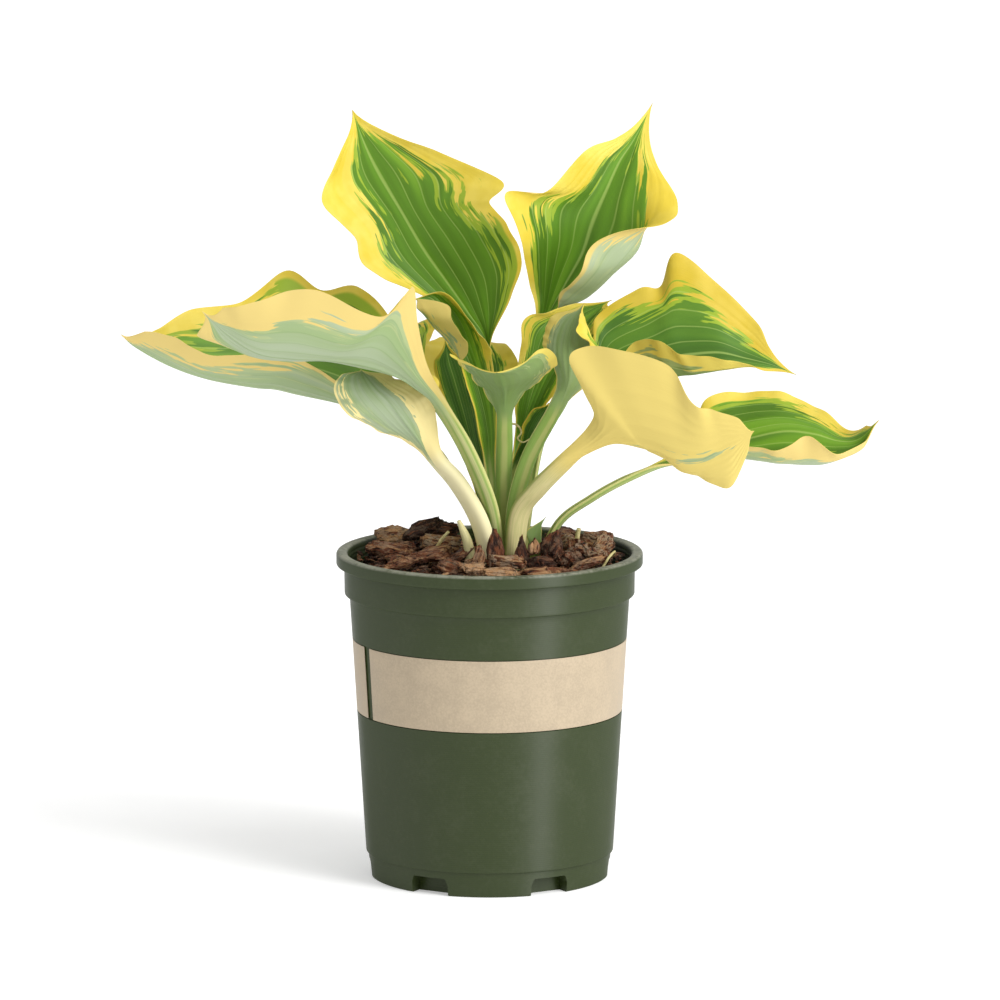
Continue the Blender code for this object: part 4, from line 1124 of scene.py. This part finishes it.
def build_soil():
    """Potting mix: a turned root ball whose top is heaped by layered noise."""
    foot, shoulder = FLOOR_TOP + 3.0, COLLAR_BOTTOM - 4.0
    rim, heel = inner_radius(shoulder) - GAP, inner_radius(foot) - GAP
    top = straight((rim - 3.0, SOIL_TOP), (1.0, SOIL_TOP), 60)
    profile = np.concatenate([
        [(3.0, foot), (heel - 4.0, foot), (heel, foot + 4.0)],
        straight((inner_radius(20.0) - GAP, 20.0), (rim, shoulder), 12),
        [(rim, shoulder), (rim - 0.5, SOIL_TOP - 1.5)],
        top,
    ])
    grid = turned(profile, SOIL_SEGMENTS)
    crumbs = layered_noise(grid * 0.16 + 40.0, 5, 4) - 0.5
    inner = np.arange(len(profile)) >= len(profile) - len(top)
    grid[..., 2] += np.where(inner[:, None], crumbs * SOIL_HEAP, 0.0)
    place_grid("potting_mix", grid, soil_crumbs(), "soil", ("potting_soil",))


def build_crown():
    """Rootstock: a turned lump pushed in and out by layered noise."""
    middle = (CROWN_AXIS[0] / MM - POT_AXIS[0] / MM, CROWN_AXIS[1] / MM - POT_AXIS[1] / MM)
    narrow, wide = CROWN_RADIUS * 0.75, CROWN_RADIUS * 0.96
    profile = np.concatenate([
        straight((3.0, CROWN_BOTTOM), (narrow, CROWN_BOTTOM), 5),
        straight((narrow, CROWN_BOTTOM), (wide, CROWN_BOTTOM + 9.0), 6),
        straight((wide, CROWN_BOTTOM + 10.0), (wide, CROWN_TOP - 4.0), 12),
        straight((CROWN_RADIUS * 0.93, CROWN_TOP - 1.0), (2.0, CROWN_TOP), 26),
    ])
    grid = turned(profile, CROWN_SEGMENTS, middle)
    lumps = layered_noise(grid * (0.22, 0.22, 0.08) + 30.0, 9, 4) - 0.5
    grid[..., 2] += lumps * CROWN_HEAP
    grid[..., :2] = middle + (grid[..., :2] - middle) * (1.0 + CROWN_SWELL * lumps[..., None])
    place_grid("rootstock", grid, crown_fibre(), "crown", ("crown",))


# ---------------------------------------------------------------- leaves

def stalk_rows(leaf):
    """Five points across the channel at each point of a stalk."""
    keel = np.asarray(leaf["stalk"], dtype=float)
    along = unit(np.gradient(keel, axis=0))
    side = unit(np.cross(along, leaf["face"]))
    face = np.cross(side, along)
    width = leaf["stalk_width"]
    depth = face * width * CHANNEL_DEPTH
    return np.stack([
        keel - side * width * 0.50 + depth,
        keel - side * width * 0.34 + depth * 0.2,
        keel,
        keel + side * width * 0.34 + depth * 0.2,
        keel + side * width * 0.50 + depth,
    ], axis=1)


def blade_row(row):
    """Five points of a blade row; halves of a three-point row bow outwards a little."""
    if len(row) == 5:
        return np.array(row, dtype=float)
    left, middle, right = (np.array(point, dtype=float) for point in row)

    def halfway(edge, other):
        """The point between a margin and the midrib."""
        bowed = (3.0 * edge + 6.0 * middle - other) / 8.0
        return 0.75 * bowed + 0.25 * (edge + middle) / 2.0

    return np.array([left, halfway(left, right), middle, halfway(right, left), right])


def leaf_surface(leaf, rows, columns):
    """Middle surface of a leaf: Catmull-Rom curves along its rows, then across them.

    Beyond the last row each row is drawn in by a power of its distance from the tip, which
    gives the tip its hollow sides.  Gives the grid and, for each row, how far it is along the
    blade: nought where the stalk ends, one at the tip, and less than nought down the stalk."""
    blade = np.array([blade_row(row) for row in leaf["blade"]])
    tip = np.array(leaf["tip"], dtype=float)
    spread = (blade[-1][4] - blade[-1][0]) * 0.02
    point = np.array([[tip + spread * k for k in (-1.0, -0.5, 0.0, 0.5, 1.0)]])
    ribs = np.concatenate([stalk_rows(leaf), blade, point])
    stalk_end = len(leaf["stalk"]) - 1
    last = len(ribs) - 1
    fine = np.linspace(0.0, last, 400)
    keel = smooth_curve(ribs[:, 2], fine)
    run = np.concatenate([[0.0], np.cumsum(np.linalg.norm(np.diff(keel, axis=0), axis=1))])
    crowded = run / run[-1] + 0.5 * smooth_step(stalk_end, last, fine)
    places = np.interp(np.linspace(0.0, crowded[-1], rows), crowded, fine)
    mesh = smooth_curve(ribs, places)
    mesh = smooth_curve(mesh.transpose(1, 0, 2), np.linspace(0.0, 4.0, columns)).transpose(1, 0, 2)
    pinch = np.clip(last - places, 0.0, 1.0) ** TIP_TAPER
    middle = mesh[:, columns // 2, None]
    mesh = middle + (mesh - middle) * pinch[:, None, None]
    far = np.interp(places, fine, run)
    start = np.interp(stalk_end, fine, run)
    return mesh, (far - start) / (run[-1] - start)


def surface_normals(grid):
    """Unit normals of a grid of points, towards the leaf's upper side."""
    normals = unit(np.cross(np.gradient(grid, axis=1), np.gradient(grid, axis=0)))
    normals[-1] = normals[-2]
    return normals


def build_leaf(name, leaf, seed, size=LEAF_GRID):
    """One leaf, stalk and blade in one skin.

    Each half of the blade swells between its veins as a rectified sine of the place across,
    and its margin waves as a sine of the place along, stronger towards the margin.  The skin is
    a loop at each row: over the upper side from left to right, and back along the underside."""
    have = settings()
    grid, along = leaf_surface(leaf, *size)
    s, t = np.meshgrid(along, np.linspace(-1.0, 1.0, size[1]), indexing="ij")
    width = np.linalg.norm(np.diff(grid, axis=1), axis=2).sum(axis=1)
    broad = smooth_step(8.0, 40.0, width)[:, None]
    blade = smooth_step(0.02, 0.22, s) * broad
    swell = np.abs(np.sin(math.pi * have.vein_count * np.abs(t)))
    lift = have.rib_height * blade * swell * (1.0 - 0.85 * smooth_step(0.60, 0.90, np.abs(t)))
    chance = np.random.default_rng(seed)
    turns = chance.uniform(*MARGIN_WAVES, 2)
    shifts = chance.uniform(0.0, 2.0 * math.pi, 3)
    round_s = 2.0 * math.pi * s
    wave = np.where(t < 0.0, np.sin(turns[0] * round_s + shifts[0]),
                    np.sin(turns[1] * round_s + shifts[1]))
    ripple = 0.3 * np.sin(MARGIN_RIPPLES * round_s + shifts[2] + np.where(t < 0.0, 2.0, 0.0))
    lift = lift + have.wave_height * blade * np.abs(t) ** 3 * (wave + ripple)
    soft = lattice_noise(np.stack([t * 2.0 + seed, s * 4.0 + 8.0, 0.0 * s], axis=-1), seed) - 0.5
    lift = lift + SOFT_UNEVENNESS * blade * soft
    grid = grid + surface_normals(grid) * lift[..., None]
    normals = surface_normals(grid)
    stalk = 1.0 - smooth_step(-0.15, 0.20, s)
    thick = have.blade_thickness
    thick = thick + (have.stalk_thickness - thick) * stalk * (1.0 - np.abs(t) ** 2.2)
    thick = thick * (1.0 - 0.65 * smooth_step(0.93, 1.0, np.abs(t)))
    midrib = np.exp(-(t / 0.05) ** 2) * smooth_step(-0.1, 0.15, s) * (1.0 - s) * broad
    upper = grid + normals * (thick * 0.35 - midrib * 0.25)[..., None]
    lower = grid - normals * (thick * 0.65 + midrib * 1.0)[..., None]
    skin = np.concatenate([upper, lower[:, ::-1]], axis=1)
    look = LEAF_LOOKS[name]
    place = np.stack([t, s, np.full_like(s, float(look["seed"]))], axis=-1)
    place = np.concatenate([place, place[:, ::-1]], axis=1)
    looks = same_all_over(skin, 0.0, look["base"], look["tip"]).copy()
    looks[:, size[1]:, 0] = 1.0
    tint = same_all_over(skin, *(look.get(word, 0.0) for word in ("lean", "cream", "deep")))
    place_grid(name + "_fine", skin, leaf_skin(), "leaf", (name,), LEAF_CREASE,
               leaf_place=place, leaf_look=looks, leaf_tint=tint)


def build_shoot():
    """The young rolled shoot: a tube that tapers by the cube of the place along it."""
    share = np.linspace(0.0, 1.0, SHOOT_STEPS)
    path = smooth_curve(SHOOT_PATH, share * (len(SHOOT_PATH) - 1))
    start, end = SHOOT_RADII
    skin = tube(path, start + (end - start) * share ** 3, SHOOT_SIDES, up=(0.0, 1.0, 0.0))
    u = np.arange(SHOOT_SIDES) * 2.0 * math.pi / SHOOT_SIDES
    place = np.broadcast_arrays(np.cos(u) * 0.6, share[:, None] * 0.4 - 0.6, 31.0)
    place_grid("young_shoot_fine", skin, leaf_skin(), "leaf", ("young_shoot",),
               leaf_place=np.stack(place, axis=-1), leaf_look=same_all_over(skin),
               leaf_tint=same_all_over(skin, 0.0, SHOOT_CREAM))


# ---------------------------------------------------------------- bark

def turn_points(points, turn, tilt, roll):
    """Points rolled about X, tilted about Y and turned about Z, in degrees."""
    out = points.copy()
    for (i, j), degrees in (((1, 2), roll), ((2, 0), tilt), ((0, 1), turn)):
        c, s = math.cos(math.radians(degrees)), math.sin(math.radians(degrees))
        first = out[..., i] * c - out[..., j] * s
        out[..., j] = out[..., i] * s + out[..., j] * c
        out[..., i] = first
    return out


def slab(size, grid, seed):
    """Wrapped grid of a splintered slab: a box in polar form, cut by slanting planes.

    A point is (cos u sin v, sin u sin v, -cos v), each value pulled out towards its box face
    by a power well below one.  Planes at random slants shave the corners off, noise that jumps
    from layer to layer steps the rim into flakes, and noise drawn out along the grain, rounded
    to a few levels, lays the faces out in terraces."""
    rows, columns = grid
    v = np.linspace(0.10, math.pi - 0.10, rows)[:, None]
    u = np.arange(columns) * 2.0 * math.pi / columns

    def pull(value, power):
        """The value moved away from nought, keeping its sign."""
        return np.sign(value) * np.abs(value) ** power

    x = pull(np.cos(u), 0.50) * pull(np.sin(v), 0.26)
    y = pull(np.sin(u), 0.50) * pull(np.sin(v), 0.26)
    z = -pull(np.cos(v), 0.80) + 0.0 * u
    shape = np.stack([x, y, z], axis=-1)
    chance = np.random.default_rng(seed + 300)
    for _ in range(SLAB_CUTS):
        normal = chance.normal(0.0, 1.0, 3) * (1.0, 1.0, 0.7)
        normal /= np.linalg.norm(normal)
        over = np.maximum(shape @ normal - chance.uniform(0.72, 0.98), 0.0)
        shape -= over[..., None] * normal
    layer = np.floor((shape[..., 2] + 1.0) * 2.5)
    around = np.stack([np.cos(u) * 3.0 + 0.0 * z, np.sin(u) * 3.0 + 0.0 * z, layer * 3.7], axis=-1)
    rim = layered_noise(around + 8.0, seed)
    comb = np.stack([shape[..., 1] * 4.0 + 9.0, layer * 2.3, np.sign(shape[..., 0]) + 3.0], axis=-1)
    spikes = lattice_noise(comb, seed + 60)
    place = shape * np.array(size) / 2.0
    place[..., 0] *= 0.74 + 0.26 * rim + 0.24 * spikes
    place[..., 1] *= 0.74 + 0.42 * rim
    furrow = layered_noise(place * (0.10, 0.60, 0.5) + 9.0, seed + 20, 4)
    level = furrow * TERRACES
    terrace = np.floor(level) + smooth_step(0.60, 0.95, level - np.floor(level))
    lift = (0.13 * (terrace - TERRACES / 2.0) + 0.30 * (furrow - 0.5)) * np.sin(v)
    twist = (place[..., 0] / size[0]) * (place[..., 1] / size[1]) * 1.1
    place[..., 2] += (lift + twist) * size[2]
    return place


def place_chip(name, chip, grid, seed, shift, stands_for=(), point=0.0):
    """One bark chip, narrowed by the point towards its far end."""
    spot, size, turn, tilt, roll, tone, weathered = chip
    local = slab(size, grid, seed)
    local[..., 1:] *= 1.0 - point * smooth_step(-0.1, 0.5, local[..., :1] / size[0])
    place_grid(name, turn_points(local, turn, tilt, roll) + np.array(spot), bark_flakes(), "bark",
               stands_for, BARK_CREASE, bark_place=local * 0.35 + shift,
               bark_look=same_all_over(local, tone, weathered))


def ring_chips(ring, middle):
    """Flat chips laid end to end round a middle, each with its own paleness."""
    chips = []
    for k in range(ring["count"]):
        a = 2.0 * math.pi * k / ring["count"]
        x = middle[0] + ring["radius"] * math.sin(a)
        y = middle[1] - ring["radius"] * math.cos(a)
        wave = math.sin(5.0 * k + ring["radius"])
        turn = math.degrees(a) + 24.0 * wave
        tilt, roll = 9.0 * math.sin(7.0 * k), 16.0 * math.cos(3.0 * k)
        weathered = 0.5 + 0.4 * math.cos(4.0 * k)
        chips.append(((x, y, ring["z"]), ring["size"], turn, tilt, roll, 0.28 * wave, weathered))
    return chips


def build_bark():
    """Every bark chip of the frame: two rings of flat chips and the heap on them."""
    rings = ring_chips(OUTER_RING, (0.0, 0.0)) + ring_chips(INNER_RING, INNER_RING_MIDDLE)
    for number, chip in enumerate(rings + BARK_HEAP, start=1):
        name = f"bark_chip_{number:02d}"
        place_chip(name + "_fine", chip, CHIP_GRID, number, number, (name,))


def build_splinters():
    """Small upright and leaning splinters wedged between the chips and the stalks."""
    for number, chip in enumerate(SPLINTERS, start=1):
        name = f"bark_splinter_{number:02d}"
        place_chip(name, chip, SPLINTER_GRID, 80 + number, 90 + number, point=0.55)


def build_fines():
    """Crumbs of bark scattered between the chips: many small ragged slabs in one mesh.

    Each is an ellipsoid with ragged radii, leant, turned, and set at a random place."""
    count, (rows, columns) = FINES_COUNT, FINES_GRID
    chance = np.random.default_rng(17)
    v = np.linspace(0.5, math.pi - 0.5, rows)[:, None]
    u = np.arange(columns) * 2.0 * math.pi / columns
    jag = chance.uniform(0.75, 1.15, (count, rows, columns))
    size = np.stack([chance.uniform(3.0, 9.0, count), chance.uniform(2.0, 5.0, count),
                     chance.uniform(0.8, 2.6, count)], axis=-1)[:, None, None, :]
    shape = np.broadcast_arrays(np.cos(u) * np.sin(v), np.sin(u) * np.sin(v), -np.cos(v))
    local = np.stack(shape, axis=-1) * jag[..., None] * size / 2.0
    turn, lean = chance.uniform(0.0, 2.0 * math.pi, count), chance.normal(0.0, 0.35, count)
    c, s = np.cos(turn)[:, None, None], np.sin(turn)[:, None, None]
    x, y, z = local[..., 0], local[..., 1], local[..., 2]
    placed = np.stack([x * c - y * s, x * s + y * c, z + x * np.sin(lean)[:, None, None]], axis=-1)
    a = chance.uniform(0.0, 2.0 * math.pi, count)
    r = FINES_REACH * np.sqrt(chance.uniform(0.0, 1.0, count))
    height = chance.uniform(*FINES_HEIGHTS, count)
    spot = np.stack([r * np.sin(a), -r * np.cos(a), height], axis=-1)[:, None, None, :]
    looks = np.zeros(placed.shape)
    looks[..., 0] = chance.uniform(-0.45, 0.20, count)[:, None, None]
    looks[..., 1] = chance.uniform(0.0, 0.4, count)[:, None, None]
    place_grid("bark_fines", placed + spot, bark_flakes(), "bark", (), FINES_CREASE,
               bark_place=local * 0.5 + spot, bark_look=looks)


def build_litter():
    """Dry bits on the mulch: stem stubs, a thin root and a curled thread, each a tube."""
    for name, (points, start_radius, end_radius) in LITTER.items():
        steps = LITTER_STEPS * (len(points) - 1) + 1
        path = smooth_curve(points, np.linspace(0.0, len(points) - 1.0, steps))
        radii = np.linspace(start_radius, end_radius, steps)
        radii = radii * (0.9 + 0.2 * layered_noise(path * 0.4 + 20.0, 3))
        place_grid(name, tube(path, radii, LITTER_SIDES, up=(0.3, 1.0, 0.2)), dry_straw(), "bark")


# ---------------------------------------------------------------- stage

CAMERA_PLACE = (5.6, -4500.0, 965.6)        # from the pot's axis, in millimetres
CAMERA_AIM = (5.6, 0.0, 204.6)
CAMERA_LENS = 305.7
SENSOR_WIDTH = 36.0
CAMERA_CLIP = 100.0                         # metres
FLOOR_REACH = 30.0                          # metres each way
LIGHT_AIM = 0.2                             # height that the lights point at, in metres
SOFTBOX_PLACE = (1.95, -1.75, 0.95)
SOFTBOX_SIZE = (0.8, 1.8)
TOP_LIGHT_PLACE = (1.6, -1.2, 2.5)
TOP_LIGHT_SPREAD = math.radians(35.0)


def aim(thing, place, target):
    """Places a lamp or a camera and points it, keeping its top edge up."""
    place, target = Vector(place), Vector(target)
    thing.location = place
    thing.rotation_euler = (target - place).to_track_quat("-Z", "Y").to_euler()


def soft_light(name, kind, place, energy, **options):
    """A studio lamp that the camera itself doesn't see."""
    lamp = bpy.data.lights.new(name, kind)
    lamp.energy = energy
    for option, value in options.items():
        setattr(lamp, option, value)
    thing = bpy.data.objects.new(name, lamp)
    bpy.context.scene.collection.objects.link(thing)
    aim(thing, place, (POT_AXIS[0], POT_AXIS[1], LIGHT_AIM))
    thing.visible_camera = False


def build_stage():
    """Pale floor, white surroundings, softboxes and the camera."""
    have = settings()
    scene = bpy.context.scene
    scene.view_settings.view_transform = "Standard"
    reach = FLOOR_REACH
    mesh = bpy.data.meshes.new("stage_floor")
    corners = [(-reach, -reach, 0), (reach, -reach, 0), (reach, reach, 0), (-reach, reach, 0)]
    mesh.from_pydata(corners, [], [(0, 1, 2, 3)])
    mesh.materials.append(stage_paper())
    floor = bpy.data.objects.new("stage_floor", mesh)
    scene.collection.objects.link(floor)
    world = bpy.data.worlds.new("stage_sky")
    world.use_nodes = True
    sky = world.node_tree.nodes["Background"]
    sky.inputs["Color"].default_value = WHITE
    sky.inputs["Strength"].default_value = have.sky_strength
    scene.world = world
    soft_light("softbox_right", "AREA", SOFTBOX_PLACE, have.key_power,
               shape="RECTANGLE", size=SOFTBOX_SIZE[0], size_y=SOFTBOX_SIZE[1])
    soft_light("top_light", "SUN", TOP_LIGHT_PLACE, have.sun_strength, angle=TOP_LIGHT_SPREAD)
    lens = bpy.data.cameras.new("studio_camera")
    lens.lens = CAMERA_LENS
    lens.sensor_width = SENSOR_WIDTH
    lens.clip_end = CAMERA_CLIP
    camera = bpy.data.objects.new("studio_camera", lens)
    scene.collection.objects.link(camera)
    axis = np.array((POT_AXIS[0], POT_AXIS[1], 0.0))
    aim(camera, axis + np.array(CAMERA_PLACE) * MM, axis + np.array(CAMERA_AIM) * MM)
    scene.camera = camera


# ---------------------------------------------------------------- add-on

class HOSTA_OT_pot(bpy.types.Operator):
    """Build the nursery pot with its rolled lip, collar and drain notches"""

    bl_idname = "hosta.pot"
    bl_label = "Pot"

    def execute(self, context):
        build_pot()
        return {"FINISHED"}


class HOSTA_OT_label(bpy.types.Operator):
    """Build the bare wrap label"""

    bl_idname = "hosta.label"
    bl_label = "Wrap Label"

    def execute(self, context):
        build_label()
        return {"FINISHED"}


class HOSTA_OT_soil(bpy.types.Operator):
    """Build the potting mix and the rootstock in it"""

    bl_idname = "hosta.soil"
    bl_label = "Soil and Rootstock"

    def execute(self, context):
        build_soil()
        build_crown()
        return {"FINISHED"}


class HOSTA_OT_leaves(bpy.types.Operator):
    """Build the variegated leaves"""

    bl_idname = "hosta.leaves"
    bl_label = "Leaves"

    def execute(self, context):
        for seed, (name, leaf) in enumerate(LEAVES.items(), start=1):
            build_leaf(name, leaf, seed)
        return {"FINISHED"}


class HOSTA_OT_shoots(bpy.types.Operator):
    """Build the torn sheath and the young shoot"""

    bl_idname = "hosta.shoots"
    bl_label = "Sheath and Shoot"

    def execute(self, context):
        build_leaf("torn_sheath", SHEATH, SHEATH_SEED, SHEATH_GRID)
        build_shoot()
        return {"FINISHED"}


class HOSTA_OT_bark(bpy.types.Operator):
    """Build the bark mulch and the dry bits on it"""

    bl_idname = "hosta.bark"
    bl_label = "Bark Mulch"

    def execute(self, context):
        build_bark()
        build_splinters()
        build_fines()
        build_litter()
        return {"FINISHED"}


class HOSTA_OT_stage(bpy.types.Operator):
    """Set the floor, the lights and the camera"""

    bl_idname = "hosta.stage"
    bl_label = "Stage"

    def execute(self, context):
        build_stage()
        return {"FINISHED"}


class HOSTA_PT_panel(bpy.types.Panel):
    """The plant's builders and settings"""

    bl_idname = "HOSTA_PT_panel"
    bl_label = "Potted Hosta"
    bl_space_type = "VIEW_3D"
    bl_region_type = "UI"
    bl_category = "Hosta"

    def draw(self, context):
        for operator in OPERATORS:
            self.layout.operator(operator.bl_idname)
        for name in HostaSettings.__annotations__:
            self.layout.prop(context.scene.hosta, name)


OPERATORS = (
    HOSTA_OT_stage,
    HOSTA_OT_pot,
    HOSTA_OT_label,
    HOSTA_OT_soil,
    HOSTA_OT_leaves,
    HOSTA_OT_shoots,
    HOSTA_OT_bark,
)
CLASSES = (HostaSettings, *OPERATORS, HOSTA_PT_panel)


def register():
    """Registers the settings, the operators and the panel."""
    for cls in CLASSES:
        bpy.utils.register_class(cls)
    bpy.types.Scene.hosta = PointerProperty(type=HostaSettings)


def unregister():
    """Removes what register added."""
    del bpy.types.Scene.hosta
    for cls in reversed(CLASSES):
        bpy.utils.unregister_class(cls)


def main():
    """Builds every piece."""
    register()
    bpy.ops.hosta.stage()
    bpy.ops.hosta.pot()
    bpy.ops.hosta.label()
    bpy.ops.hosta.soil()
    bpy.ops.hosta.leaves()
    bpy.ops.hosta.shoots()
    bpy.ops.hosta.bark()


if __name__ == "__main__":
    main()
